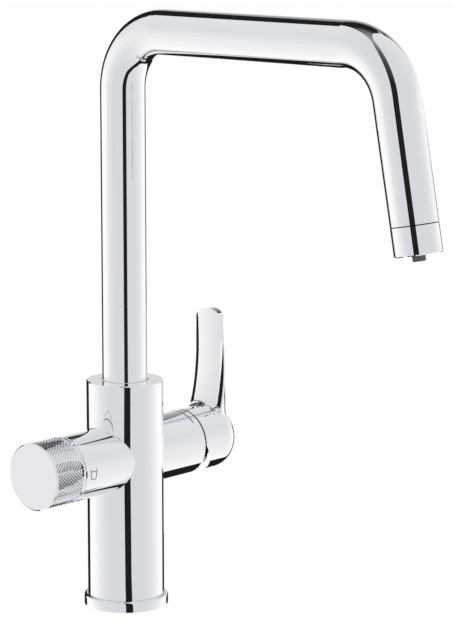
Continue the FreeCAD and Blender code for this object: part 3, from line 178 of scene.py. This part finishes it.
def add_node(tree, kind, inputs=None, **settings):
    """Add one shader node with its settings; an input is a value, or the socket that feeds it."""
    node = tree.nodes.new(kind)
    for name, value in settings.items():
        setattr(node, name, value)
    for name, value in (inputs or {}).items():
        if isinstance(value, bpy.types.NodeSocket):
            tree.links.new(value, node.inputs[name])
        else:
            node.inputs[name].default_value = value
    return node


def object_place(tree):
    """Where a shaded point lies in its object."""
    return add_node(tree, "ShaderNodeTexCoord").outputs["Object"]


def calculate(tree, operation, first, second):
    """One operation on two values."""
    return add_node(tree, "ShaderNodeMath", {0: first, 1: second}, operation=operation).outputs["Value"]


def distance_along(tree, place, way):
    """How far a place lies along a way."""
    node = add_node(tree, "ShaderNodeVectorMath", {0: place, 1: way}, operation="DOT_PRODUCT")
    return node.outputs["Value"]


def map_range(tree, value, source, target):
    """Stretch the range of a value from one pair of ends to another."""
    node = add_node(tree, "ShaderNodeMapRange", {
        "Value": value, "From Min": source[0], "From Max": source[1],
        "To Min": target[0], "To Max": target[1]})
    return node.outputs["Result"]


def mix_colours(tree, share, first, second):
    """Mix two colours. The node's sockets 6, 7 and 2 are its colours A, B and the result."""
    return add_node(tree, "ShaderNodeMix", {0: share, 6: first, 7: second}, data_type="RGBA").outputs[2]


def mix_shaders(tree, share, first, second):
    """Mix two shaders."""
    return add_node(tree, "ShaderNodeMixShader", {0: share, 1: first, 2: second}).outputs["Shader"]


def bump(tree, height, depth):
    """A normal with relief of that depth in millimetres."""
    node = add_node(tree, "ShaderNodeBump", {"Height": height, "Strength": 1.0, "Distance": depth * MM})
    return node.outputs["Normal"]


def new_material(name):
    """An empty node material and its tree."""
    material = bpy.data.materials.new(name)
    material.use_nodes = True
    material.node_tree.nodes.clear()
    return material, material.node_tree


def per_size(millimetres):
    """Texture scale at which a pattern repeats about once in that many millimetres."""
    return 1 / (millimetres * MM)


def surface(tree, base, shader, grain, rough, relief=0.0, tint=0.0):
    """Principled surface whose colour, roughness and relief follow one noise of that grain in millimetres."""
    place = object_place(tree)
    noise = add_node(tree, "ShaderNodeTexNoise", {
        "Vector": place, "Scale": per_size(grain), "Detail": 4.0, "Roughness": 0.55}).outputs["Fac"]
    usual_noise = (0.3, 0.7)
    roughness = map_range(tree, noise, usual_noise, rough)
    low = tuple(c * (1 - tint) for c in base)
    mixed = mix_colours(tree, noise, (*low, 1.0), (*base, 1.0))
    inputs = {"Base Color": mixed, "Roughness": roughness, **shader}
    if relief:
        inputs["Normal"] = bump(tree, noise, relief)
    bsdf = add_node(tree, "ShaderNodeBsdfPrincipled", inputs)
    add_node(tree, "ShaderNodeOutputMaterial", {"Surface": bsdf.outputs["BSDF"]})
    return bsdf


# Materials

METAL = {"Metallic": 1.0}
PLASTIC = {"IOR": 1.5}
# Phase in radians that the wave texture turns through over one unit of scaled length
WAVE_PHASE = 20


def mirror_plate(tree, colours):
    """A hard chrome mirror, with the faint unevenness that the buffing wheel leaves."""
    return surface(tree, colours.chrome, METAL, grain=14, rough=(0.015, 0.035), tint=0.006)


def polished_chrome(colours):
    """Chrome plate on buffed brass."""
    material, tree = new_material("polished_chrome_plate")
    mirror_plate(tree, colours)
    return material


def sleeve_chrome_with_painted_seam_shade(colours, sizes):
    """Chrome plate with a dark band along the sleeve's upper edge: painted shade for the seam above the
    sleeve.
    """
    material, tree = new_material("chrome_plate_with_painted_seam_shade")
    bsdf = mirror_plate(tree, colours)
    along = distance_along(tree, object_place(tree), SLEEVE_WAY)
    # A band of painted shade along the sleeve's top edge, in the dark zinc colour, stands for the seam
    edge = calculate(tree, "GREATER_THAN", along, SLEEVE_END - sizes.seam_shade_width)
    plate = bsdf.inputs["Base Color"].links[0].from_socket
    tree.links.new(mix_colours(tree, edge, plate, (*colours.zinc_and_painted_shade, 1.0)), bsdf.inputs["Base Color"])
    return material


def satin_chrome(colours):
    """Chrome plate on a brushed face: a pale soft glow, with the lathe's fine rings round the knob's axis."""
    material, tree = new_material("satin_chrome_plate")
    bsdf = surface(tree, colours.satin, METAL, grain=0.8, rough=(0.26, 0.34), tint=0.03)
    middle = add_node(tree, "ShaderNodeMapping", {
        "Vector": object_place(tree), "Location": -ARM_AXIS}).outputs["Vector"]
    ring_per_radian, ring_depth = 0.4, 0.002
    rings = add_node(tree, "ShaderNodeTexWave", {
        "Vector": middle, "Scale": per_size(ring_per_radian) / WAVE_PHASE, "Distortion": 0.4, "Detail": 2.0},
        wave_type="RINGS", rings_direction="X").outputs["Fac"]
    tree.links.new(bump(tree, rings, ring_depth), bsdf.inputs["Normal"])
    return material


def turned_brass(colours):
    """Brass turned on a lathe: warm, half dull, with fine tool marks."""
    material, tree = new_material("turned_brass")
    surface(tree, colours.brass, METAL, grain=0.9, rough=(0.2, 0.36), relief=0.006, tint=0.12)
    return material


def turned_steel(colours):
    """Stainless steel, turned and passivated: a cool grey with a soft gleam."""
    material, tree = new_material("turned_stainless_steel")
    surface(tree, colours.steel, METAL, grain=0.7, rough=(0.16, 0.3), relief=0.004, tint=0.08)
    return material


def dark_zinc_and_groove_shade(colours):
    """Black-passivated die-cast zinc inside the knob: dull and dark. On the faces of the knob's groove its
    darkness is painted shade.
    """
    material, tree = new_material("dark_zinc_and_painted_groove_shade")
    surface(tree, colours.zinc_and_painted_shade, METAL, grain=0.6, rough=(0.5, 0.62), relief=0.01, tint=0.1)
    return material


def moulded_rubber(colours):
    """Moulded nitrile rubber: near black, matt, with a fine bloom."""
    material, tree = new_material("moulded_rubber")
    surface(tree, colours.rubber, {"IOR": 1.52}, grain=0.5, rough=(0.5, 0.68), relief=0.01, tint=0.25)
    return material


def moulded_acetal(colours):
    """Moulded acetal: milky white and slightly waxy."""
    material, tree = new_material("moulded_white_acetal")
    waxy = {"IOR": 1.48, "Subsurface Weight": 0.05, "Subsurface Radius": (MM, MM, MM)}
    surface(tree, colours.acetal, waxy, grain=1.2, rough=(0.3, 0.42), relief=0.004, tint=0.05)
    return material


def moulded_nozzle_plastic(colours):
    """Moulded glass-filled plastic: dark grey, satin, with a fine spark-eroded grain."""
    material, tree = new_material("moulded_dark_grey_plastic")
    surface(tree, colours.nozzle, PLASTIC, grain=0.35, rough=(0.34, 0.5), relief=0.01, tint=0.18)
    return material


def moulded_cartridge_plastic(colours):
    """Moulded engineering plastic of the mixing cartridge: muted blue and satin."""
    material, tree = new_material("moulded_cartridge_plastic")
    surface(tree, colours.cartridge, PLASTIC, grain=0.6, rough=(0.3, 0.46), relief=0.006, tint=0.1)
    return material


def lapped_ceramic(colours):
    """Fired alumina lapped flat: off-white, with a soft gloss."""
    material, tree = new_material("lapped_alumina_ceramic")
    surface(tree, colours.ceramic, {"IOR": 1.76}, grain=0.4, rough=(0.12, 0.22), relief=0.001, tint=0.03)
    return material


def printed_ink(name, base):
    """Pad-printed two-part ink: a thin even coat, a little glossier than paint, of slightly uneven tone."""
    material, tree = new_material(name)
    surface(tree, base, PLASTIC, grain=0.25, rough=(0.3, 0.42), relief=0.002, tint=0.12)
    return material


def dress(material, nodes):
    """Give CAD nodes a finish through their material slots."""
    for name in nodes:
        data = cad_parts[name].data
        data.materials.clear()
        data.materials.append(material)


# Pieces

# Places of the knob's finishes in its list of materials
# The last finish is dark zinc inside the knob, and painted shade in its shadow groove
CHROME, SATIN, ZINC_AND_GROOVE_SHADE = 0, 1, 2
ARC_STEPS = 24
SIGN_BANDS = 10


def new_object(name, mesh, materials):
    """Turn a bmesh into an object with its materials."""
    data = bpy.data.meshes.new(name)
    mesh.to_mesh(data)
    mesh.free()
    for material in materials:
        data.materials.append(material)
    piece = bpy.data.objects.new(name, data)
    bpy.context.scene.collection.objects.link(piece)
    return piece


def new_piece(name, mesh, body, materials):
    """A piece that rides on a body, with its finishes in its material slots."""
    piece = new_object(name, mesh, materials)
    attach(piece, body)
    return piece


def close(mesh):
    """Merge doubles and point the faces outwards."""
    bmesh.ops.remove_doubles(mesh, verts=mesh.verts, dist=MERGE)
    bmesh.ops.recalc_face_normals(mesh, faces=mesh.faces)


def spin_profile(points, steps):
    """Spin an open profile of points right round the arms' axis and close its seam and poles."""
    mesh = bmesh.new()
    corners = [mesh.verts.new(p) for p in points]
    edges = [mesh.edges.new(pair) for pair in zip(corners, corners[1:])]
    bmesh.ops.spin(mesh, geom=corners + edges, cent=ARM_AXIS, axis=ALONG_ARMS, angle=2 * pi, steps=steps,
                   use_merge=True)
    close(mesh)
    return mesh


def knurl_rows(sizes):
    """How many rows of half diamonds the knob has room for."""
    plain = sizes.knob_chamfer + sizes.knob_land + sizes.knob_rim + sizes.groove_width
    return int((KNOB_HIGH.x - KNOB_LOW.x - plain) / sizes.knurl_step)


def knurl_start(sizes):
    """Where the knurl begins along the arm."""
    return KNOB_LOW.x + sizes.knob_chamfer + sizes.knob_land


def knob_profile(sizes):
    """Half section of the knob from the middle of its face round to the floor of its bore."""
    face, rim = KNOB_LOW.x, KNOB_HIGH.x
    floor, bush = BUSH_LOW.x, BUSH_HIGH.x
    valley = KNOB_RADIUS - sizes.knurl_depth
    inner = KNOB_RADIUS - sizes.knob_wall
    first = knurl_start(sizes)
    outside = [(face, 0), (face, KNOB_RADIUS - sizes.knob_chamfer), (face + sizes.knob_chamfer, KNOB_RADIUS),
               (first, KNOB_RADIUS)]
    knurl = [(first + k * sizes.knurl_step, valley) for k in range(knurl_rows(sizes) + 1)]
    last = knurl[-1][0]
    step, low = rim - sizes.groove_width, KNOB_RADIUS - sizes.groove_depth
    skirt = [(last, KNOB_RADIUS), (step, KNOB_RADIUS), (step, low), (rim, low), (rim, inner), (floor, inner)]
    boss = [(floor, sizes.knob_boss), (bush, sizes.knob_boss), (bush, BUSH_RADIUS), (floor, BUSH_RADIUS),
            (floor, 0)]
    return [ARM_AXIS + Vector((x, 0, radius)) for x, radius in outside + knurl + skirt + boss]


def raise_diamonds(mesh, sizes):
    """Lift every other point of the knurl's lattice to a peak, so that grooves run both ways round."""
    turn = pi / sizes.knurl_count
    valley = KNOB_RADIUS - sizes.knurl_depth
    first, rows = knurl_start(sizes), knurl_rows(sizes)
    valleys = []
    for vert in mesh.verts:
        out = spoke(vert.co)
        row = round((vert.co.x - first) / sizes.knurl_step)
        if abs(out.length - valley) > TOUCH or not 0 <= row <= rows:
            continue
        column = round(atan2(out.y, out.z) / turn)
        if 0 < row < rows and (row + column) % 2:
            vert.co += out.normalized() * sizes.knurl_depth
        else:
            valleys.append(vert)
    bmesh.ops.connect_verts(mesh, verts=valleys)


def knob_finish(middle, sizes):
    """The finish of a face of the knob: satin in front, passivated zinc inside, the same dark zinc in the
    groove as painted shade, or chrome.
    """
    if middle.x < KNOB_LOW.x + TOUCH:
        return SATIN
    inside = spoke(middle).length < KNOB_RADIUS - sizes.knob_wall + TOUCH
    # The groove's faces take the dark zinc so that the groove reads dark: painted shade
    in_groove = middle.x > KNOB_HIGH.x - sizes.groove_width - TOUCH
    return ZINC_AND_GROOVE_SHADE if inside or in_groove else CHROME


def strip_round(x, width, height, start, sweep):
    """A thin strip of ink round an arm: a small rectangle spun about its axis, angles from the top to -Y."""
    mesh = bmesh.new()
    turn = Matrix.Rotation(start, 3, "X")
    section = ((-1, 0), (1, 0), (1, height), (-1, height))
    corners = [mesh.verts.new(ARM_AXIS + turn @ Vector((x + side * width / 2, 0, ARM_RADIUS + lift)))
               for side, lift in section]
    face = mesh.faces.new(corners)
    bmesh.ops.spin(mesh, geom=[face], cent=ARM_AXIS, axis=ALONG_ARMS, angle=sweep, steps=ARC_STEPS)
    close(mesh)
    return mesh


def tumbler_mesh(sizes):
    """Flat outline of an open tumbler with its water line, in the XZ plane about the origin."""
    mesh = bmesh.new()
    top, foot = sizes.sign_top / 2, sizes.sign_foot / 2
    high, line = sizes.sign_tall / 2, sizes.sign_line
    outline = [(-top, high), (-foot, -high), (foot, -high), (top, high), (top - line, high),
               (foot - line, line - high), (line - foot, line - high), (line - top, high)]
    ring = [mesh.verts.new((x, 0, z)) for x, z in outline]
    mesh.faces.new(ring)
    foot_round = 1.6 * line
    bmesh.ops.bevel(mesh, geom=ring[1:3], offset=foot_round, segments=4, profile=0.5, affect="VERTICES",
                    material=-1)
    level = high - sizes.sign_water
    reach = top - line - sizes.sign_water * (top - foot) / sizes.sign_tall
    dip = line / 2
    water = [(-reach, level), (0, level - dip), (reach, level),
             (reach, level - line), (0, level - line - dip), (-reach, level - line)]
    mesh.faces.new([mesh.verts.new((x, 0, z)) for x, z in water])
    return mesh


def wrap_on_arm(mesh, x, lift, height):
    """Thicken a flat sign and lay it on the front of an arm, cut into bands so that it follows the curve."""
    top = max(v.co.z for v in mesh.verts)
    for k in range(1, SIGN_BANDS):
        level = top * (2 * k / SIGN_BANDS - 1)
        bmesh.ops.bisect_plane(mesh, geom=mesh.verts[:] + mesh.edges[:] + mesh.faces[:],
                               plane_co=(0, 0, level), plane_no=UP)
    grown = bmesh.ops.extrude_face_region(mesh, geom=mesh.faces[:])
    proud = {e for e in grown["geom"] if isinstance(e, bmesh.types.BMVert)}
    for vert in mesh.verts:
        tilt = asin(lift / ARM_RADIUS) + vert.co.z / ARM_RADIUS
        reach = ARM_RADIUS + (height if vert in proud else 0)
        vert.co = ARM_AXIS + Vector((x + vert.co.x, -reach * cos(tilt), reach * sin(tilt)))
    close(mesh)


# Studio

YAW = radians(48.022)
PITCH = radians(10.121)
CAMERA_PLACE = (-1.1092, -1.08012, 0.45433)
CAMERA_LENS = 152.37
TO_CAMERA = Vector((-sin(YAW), -cos(YAW), 0))
TO_RIGHT = Vector((cos(YAW), -sin(YAW), 0))

WHITE = opaque("FFFFFF")
PAPER_WHITE = opaque("F4F4F4")
CLOTH_BLACK = opaque("262626")
FLOOR_RADIUS = 6.0
FLOOR_SIDES = 64
# Share of plain white that the floor shows the camera; the rest is lit paper with the tap's shadow
FLOOR_WHITE = 0.97

# Pale grey that the chrome mirrors round the camera, and how far right of it in degrees its middle lies
WORLD_GREY = opaque("D8DADF")
GREY_RIGHT = 7.0
# Cosines of the turn from that middle at which white begins and is full, and how it grows between them
WHITE_TURN = (0.7, -0.4)
WHITE_POWER = 1.6
# Sines of the height between which that white grows, and its share at each
WHITE_HEIGHT = (0.35, -0.1)
WHITE_SHARE = (0.25, 1.0)
# Strength of the white light that falls on dull surfaces
DULL_LIGHT = 0.7

# Far black flags that the chrome mirrors, in degrees: left of the way to the camera, and above the horizon
FLAG_DISTANCE = 4.0
RISE_STEPS = 16
TURN_STEPS = 24
REAR_FLAG = ((165, 214), (8, 44))
FAR_FLAGS = {
    "left_flag": ((136, 172), (-70, 44)),
    "right_flag": ((192, 214), (-38, 1)),
    "top_flag": ((139, 207), (43, 57)),
    "corner_flag": ((205, 214), (34, 47)),
    "bottom_flag": ((139, 212), (-60, -38)),
}

# Near black flags, in metres: right of the tap's foot, away from the camera, up, and the width there.
# The strip and the canopy give the long dark lines, the two cards the dark edges of the lever.
STRIP_PATH = (
    (-0.083, -0.495, 1.67, 0.2), (0.0825, -0.495, 0.45, 0.165), (0.0825, -0.495, -0.12, 0.165),
    (0.115, -0.3, -0.17, 0.12), (0.115, -0.2, -0.17, 0.11), (0.12, -0.12, -0.17, 0.12),
    (0.09, 0.0, -0.17, 0.14), (0.095, 0.09, -0.17, 0.16), (0.14, 0.24, -0.17, 0.2), (0.13, 0.4, -0.17, 0.28),
    (0.06, 0.8, -0.17, 0.4))
CANOPY_PATH = (
    (-0.083, -0.495, 1.67, 0.2), (-0.15, -0.32, 2.2, 0.3), (-0.1, 0.17, 2.2, 0.62), (0.03, 0.88, 2.2, 1.3),
    (0.1, 1.4, 2.2, 1.7))
ROOT_CARD_PATH = ((-0.047, 0.11, 0.17, 0.066), (-0.047, 0.11, 0.26, 0.066))
EDGE_CARD_PATH = ((-0.0665, 0.087, 0.06, 0.033), (-0.0665, 0.087, 0.2, 0.033))

# How a flag's cloth thins out: the way, where along it that begins and ends, and the clear share at its end
STRIP_FADE = (UP, 0.45, 1.67, 0.4)
CANOPY_FADE = (TO_CAMERA, -0.7, 0.32, 0.4)
REAR_FADE = (UP, 3.4, 0.4, 1.0)
NO_FADE = (UP, 0.0, 1.0, 0.0)

# Soft lamps: degrees left of the way to the camera and above the horizon, distance and size in metres, watts
LAMPS = {
    "key_lamp": (50, 50, 1.6, 1.2, 8.0),
    "fill_lamp": (-70, 30, 1.8, 1.4, 4.0),
}


def stage_piece(name, mesh, material):
    """A stage object, apart from the tap."""
    piece = new_object(name, mesh, [material])
    return piece


def mirror_only(piece):
    """Show a stage object to mirrors alone, so that it neither hides the tap nor shades it."""
    piece.visible_camera = False
    piece.visible_diffuse = False
    piece.visible_shadow = False


def flag_cloth(name, fade):
    """Matt black flag cloth that gives chrome its dark lines, and thins out along a way."""
    way, start, end, clear = fade
    material, tree = new_material(name)
    cloth = add_node(tree, "ShaderNodeBsdfDiffuse", {"Color": CLOTH_BLACK}).outputs["BSDF"]
    gap = add_node(tree, "ShaderNodeBsdfTransparent").outputs["BSDF"]
    along = distance_along(tree, object_place(tree), way)
    share = map_range(tree, along, (start, end), (0.0, clear))
    add_node(tree, "ShaderNodeOutputMaterial", {"Surface": mix_shaders(tree, share, cloth, gap)})
    return material


def studio_floor():
    """White paper floor: it shows the camera plain white, with a trace of the tap's shadow."""
    material, tree = new_material("white_paper_floor")
    paper = add_node(tree, "ShaderNodeBsdfDiffuse", {"Color": PAPER_WHITE}).outputs["BSDF"]
    white = add_node(tree, "ShaderNodeEmission", {"Color": WHITE, "Strength": 1.0}).outputs["Emission"]
    camera = add_node(tree, "ShaderNodeLightPath").outputs["Is Camera Ray"]
    share = calculate(tree, "MULTIPLY", camera, FLOOR_WHITE)
    add_node(tree, "ShaderNodeOutputMaterial", {"Surface": mix_shaders(tree, share, paper, white)})
    return material


def background(tree, shade, strength):
    """A background of that colour and strength."""
    node = add_node(tree, "ShaderNodeBackground", {"Color": shade, "Strength": strength})
    return node.outputs["Background"]


def studio_world():
    """White studio: white to the camera; chrome mirrors white at the sides, pale grey in front and above."""
    world = bpy.data.worlds.new("white_studio")
    world.use_nodes = True
    tree = world.node_tree
    tree.nodes.clear()
    way = add_node(tree, "ShaderNodeTexCoord").outputs["Generated"]
    middle = Matrix.Rotation(radians(GREY_RIGHT), 3, "Z") @ TO_CAMERA
    aside = map_range(tree, distance_along(tree, way, middle), WHITE_TURN, (0.0, 1.0))
    aside = calculate(tree, "POWER", aside, WHITE_POWER)
    height = add_node(tree, "ShaderNodeSeparateXYZ", {"Vector": way}).outputs["Z"]
    low = map_range(tree, height, WHITE_HEIGHT, WHITE_SHARE)
    mirrored = mix_colours(tree, calculate(tree, "MULTIPLY", aside, low), WORLD_GREY, WHITE)
    path = add_node(tree, "ShaderNodeLightPath").outputs
    seen = mix_colours(tree, path["Is Camera Ray"], mirrored, WHITE)
    shown = background(tree, seen, 1.0)
    glow = background(tree, WHITE, DULL_LIGHT)
    sharp = calculate(tree, "MAXIMUM", path["Is Camera Ray"], path["Is Glossy Ray"])
    sharp = calculate(tree, "MAXIMUM", sharp, path["Is Transmission Ray"])
    add_node(tree, "ShaderNodeOutputWorld", {"Surface": mix_shaders(tree, sharp, glow, shown)})
    return world


def far_flag(name, turn, rise, material):
    """A curved black flag far from the tap: one point spun up into an arc, and the arc spun round the tap."""
    mesh = bmesh.new()
    centre = (0, 0, 0)
    point = mesh.verts.new(Matrix.Rotation(-radians(rise[0]), 3, TO_RIGHT) @ TO_CAMERA * FLAG_DISTANCE)
    bmesh.ops.spin(mesh, geom=[point], cent=centre, axis=TO_RIGHT, angle=-radians(rise[1] - rise[0]),
                   steps=RISE_STEPS)
    to_first = Matrix.Rotation(-radians(turn[0]), 3, "Z")
    bmesh.ops.rotate(mesh, verts=mesh.verts, cent=centre, matrix=to_first)
    bmesh.ops.spin(mesh, geom=mesh.verts[:] + mesh.edges[:], cent=centre, axis=UP,
                   angle=-radians(turn[1] - turn[0]), steps=TURN_STEPS)
    mirror_only(stage_piece(name, mesh, material))


def near_flag(name, path, material):
    """A strip of black cloth near the tap, hung along a path of points with its width at each."""
    mesh = bmesh.new()
    rows = []
    for right, away, up, width in path:
        middle = TO_RIGHT * right - TO_CAMERA * away + UP * up
        rows.append([mesh.verts.new(middle + TO_RIGHT * side * width / 2) for side in (-1, 1)])
    for (a, b), (c, d) in zip(rows, rows[1:]):
        mesh.faces.new((a, b, d, c))
    mirror_only(stage_piece(name, mesh, material))


def soft_lamp(name, turn, rise, distance, size, power):
    """A soft area lamp aimed at the tap, hidden from mirrors."""
    data = bpy.data.lights.new(name, "AREA")
    data.size = size
    data.energy = power
    lamp = bpy.data.objects.new(name, data)
    level = Matrix.Rotation(-radians(turn), 3, "Z") @ TO_CAMERA
    way = level * cos(radians(rise)) + UP * sin(radians(rise))
    lamp.location = way * distance
    lamp.rotation_euler = (-way).to_track_quat("-Z", "Y").to_euler()
    lamp.visible_glossy = False
    bpy.context.scene.collection.objects.link(lamp)


def photo_camera():
    """The camera at the photograph's viewing angle."""
    data = bpy.data.cameras.new("photo_camera")
    data.lens = CAMERA_LENS
    camera = bpy.data.objects.new("photo_camera", data)
    camera.location = CAMERA_PLACE
    camera.rotation_euler = (pi / 2 - PITCH, 0, -YAW)
    bpy.context.scene.collection.objects.link(camera)
    return camera


# Operators

class TapOperator:
    """What the tap's operators share."""
    bl_options = {"REGISTER", "UNDO"}

    @property
    def sizes(self):
        return bpy.context.scene.tap_sizes

    @property
    def colours(self):
        return bpy.context.scene.tap_colours


class TAP_OT_chrome(TapOperator, bpy.types.Operator):
    """Plate the body, base ring, cover cap, spout, outlet sleeve and lever"""
    bl_idname = "tap.chrome"
    bl_label = "Chrome pieces"

    def execute(self, context):
        dress(polished_chrome(self.colours), [
            "base_ring", "main_body", "spout_tube", "cover_cap", "lever_handle", "filter_knob"])
        dress(sleeve_chrome_with_painted_seam_shade(self.colours, self.sizes), ["outlet_sleeve"])
        return {"FINISHED"}


class TAP_OT_brass_and_steel(TapOperator, bpy.types.Operator):
    """Give the inner brass and steel pieces their turned finish"""
    bl_idname = "tap.brass_and_steel"
    bl_label = "Brass and steel pieces"

    def execute(self, context):
        dress(turned_brass(self.colours), [
            "spout_spigot", "outlet_bush", "cartridge_nut", "valve_body", "valve_spindle"])
        dress(turned_steel(self.colours), [
            "swivel_stop_screw", "lever_spindle", "spindle_pin", "lever_screw", "spindle_clip"])
        return {"FINISHED"}


class TAP_OT_seals(TapOperator, bpy.types.Operator):
    """Give the gasket, washer, seals and O-rings their rubber"""
    bl_idname = "tap.seals"
    bl_label = "Seals"

    def execute(self, context):
        dress(moulded_rubber(self.colours), [
            "base_gasket", "spout_o_rings", "filtered_water_seal", "aerator_washer", "cartridge_port_seals",
            "valve_seat_seal", "valve_o_rings"])
        return {"FINISHED"}


class TAP_OT_plastics(TapOperator, bpy.types.Operator):
    """Give the inner plastic pieces, nozzle and plug their plastics, and the discs their ceramic"""
    bl_idname = "tap.plastics"
    bl_label = "Plastic and ceramic pieces"

    def execute(self, context):
        dress(moulded_acetal(self.colours), [
            "upper_glide_ring", "lower_glide_ring", "filtered_water_tube", "aerator_insert", "knob_bush"])
        dress(moulded_nozzle_plastic(self.colours), ["filter_nozzle", "lever_plug"])
        dress(moulded_cartridge_plastic(self.colours), [
            "cartridge_base", "cartridge_housing", "turning_sleeve", "disc_carrier"])
        dress(lapped_ceramic(self.colours), [
            "fixed_ceramic_disc", "moving_ceramic_disc", "valve_fixed_disc", "valve_moving_disc"])
        return {"FINISHED"}


class TAP_OT_knob(TapOperator, bpy.types.Operator):
    """Model the knob with its diamond knurl, plain rim, shadow groove, satin face and dark inside"""
    bl_idname = "tap.knob"
    bl_label = "Knurled knob"

    def execute(self, context):
        sizes = self.sizes
        mesh = spin_profile(knob_profile(sizes), 2 * sizes.knurl_count)
        raise_diamonds(mesh, sizes)
        for face in mesh.faces:
            face.material_index = knob_finish(face.calc_center_median(), sizes)
        chrome = bpy.data.materials["polished_chrome_plate"]
        finishes = [chrome, satin_chrome(self.colours), dark_zinc_and_groove_shade(self.colours)]
        piece = new_piece("knurled_knob", mesh, "knob", finishes)
        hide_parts("filter_knob")
        return {"FINISHED"}


class TAP_OT_signs(TapOperator, bpy.types.Operator):
    """Print the hot and cold arcs on the lever arm and the tumbler sign on the knob arm"""
    bl_idname = "tap.signs"
    bl_label = "Printed signs"

    def execute(self, context):
        sizes, colours = self.sizes, self.colours
        knob_end, lever_end = BODY_LOW.x, BODY_HIGH.x
        arcs = (("hot_arc", colours.hot, sizes.arc_split - sizes.arc_gap, -sizes.arc_sweep),
                ("cold_arc", colours.cold, sizes.arc_split + sizes.arc_gap, sizes.arc_sweep))
        for name, ink, start, sweep in arcs:
            mesh = strip_round(lever_end - sizes.arc_place, sizes.arc_width, sizes.ink_height, start, sweep)
            new_piece(name, mesh, "tap_body", [printed_ink(name + "_ink", ink)])
        mesh = tumbler_mesh(sizes)
        wrap_on_arm(mesh, knob_end + sizes.sign_place, sizes.sign_lift, sizes.ink_height)
        ink = printed_ink("tumbler_sign_ink", colours.sign)
        new_piece("tumbler_sign", mesh, "tap_body", [ink])
        return {"FINISHED"}


class TAP_OT_stage(TapOperator, bpy.types.Operator):
    """Set the white floor, the black flags, the lamps and the camera"""
    bl_idname = "tap.stage"
    bl_label = "Studio"

    def execute(self, context):
        scene = context.scene
        scene.view_settings.view_transform = "Standard"
        scene.world = studio_world()
        mesh = bmesh.new()
        bmesh.ops.create_circle(mesh, cap_ends=True, segments=FLOOR_SIDES, radius=FLOOR_RADIUS)
        floor = stage_piece("floor", mesh, studio_floor())
        floor.visible_glossy = False
        near_flag("front_strip", STRIP_PATH, flag_cloth("strip_flag_cloth", STRIP_FADE))
        near_flag("canopy", CANOPY_PATH, flag_cloth("canopy_flag_cloth", CANOPY_FADE))
        far_flag("rear_flag", *REAR_FLAG, flag_cloth("rear_flag_cloth", REAR_FADE))
        cloth = flag_cloth("far_flag_cloth", NO_FADE)
        near_flag("lever_card", ROOT_CARD_PATH, cloth)
        near_flag("edge_card", EDGE_CARD_PATH, cloth)
        for name, (turn, rise) in FAR_FLAGS.items():
            far_flag(name, turn, rise, cloth)
        for name, settings in LAMPS.items():
            soft_lamp(name, *settings)
        scene.camera = photo_camera()
        return {"FINISHED"}


class TAP_PT_panel(bpy.types.Panel):
    """Lists the tap's operators, sizes and colours"""
    bl_label = "Kitchen mixer tap"
    bl_space_type = "VIEW_3D"
    bl_region_type = "UI"
    bl_category = "Tap"

    def draw(self, context):
        layout = self.layout
        for operator in OPERATORS:
            layout.operator(operator.bl_idname)
        for group in (context.scene.tap_sizes, context.scene.tap_colours):
            column = layout.column(align=True)
            for name in group.bl_rna.properties.keys():
                if name not in ("name", "rna_type"):
                    column.prop(group, name)


OPERATORS = (TAP_OT_chrome, TAP_OT_brass_and_steel, TAP_OT_seals, TAP_OT_plastics, TAP_OT_knob, TAP_OT_signs,
             TAP_OT_stage)
CLASSES = (TapSizes, TapColours, *OPERATORS, TAP_PT_panel)


def register():
    """Add the classes and the scene's two groups of properties."""
    for cls in CLASSES:
        bpy.utils.register_class(cls)
    bpy.types.Scene.tap_sizes = bpy.props.PointerProperty(type=TapSizes)
    bpy.types.Scene.tap_colours = bpy.props.PointerProperty(type=TapColours)


def unregister():
    """Take them away again."""
    del bpy.types.Scene.tap_colours
    del bpy.types.Scene.tap_sizes
    for cls in reversed(CLASSES):
        bpy.utils.unregister_class(cls)


def main():
    """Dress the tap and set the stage."""
    register()
    bpy.ops.tap.chrome()
    bpy.ops.tap.brass_and_steel()
    bpy.ops.tap.seals()
    bpy.ops.tap.plastics()
    bpy.ops.tap.knob()
    bpy.ops.tap.signs()
    bpy.ops.tap.stage()


if __name__ == "__main__":
    main()
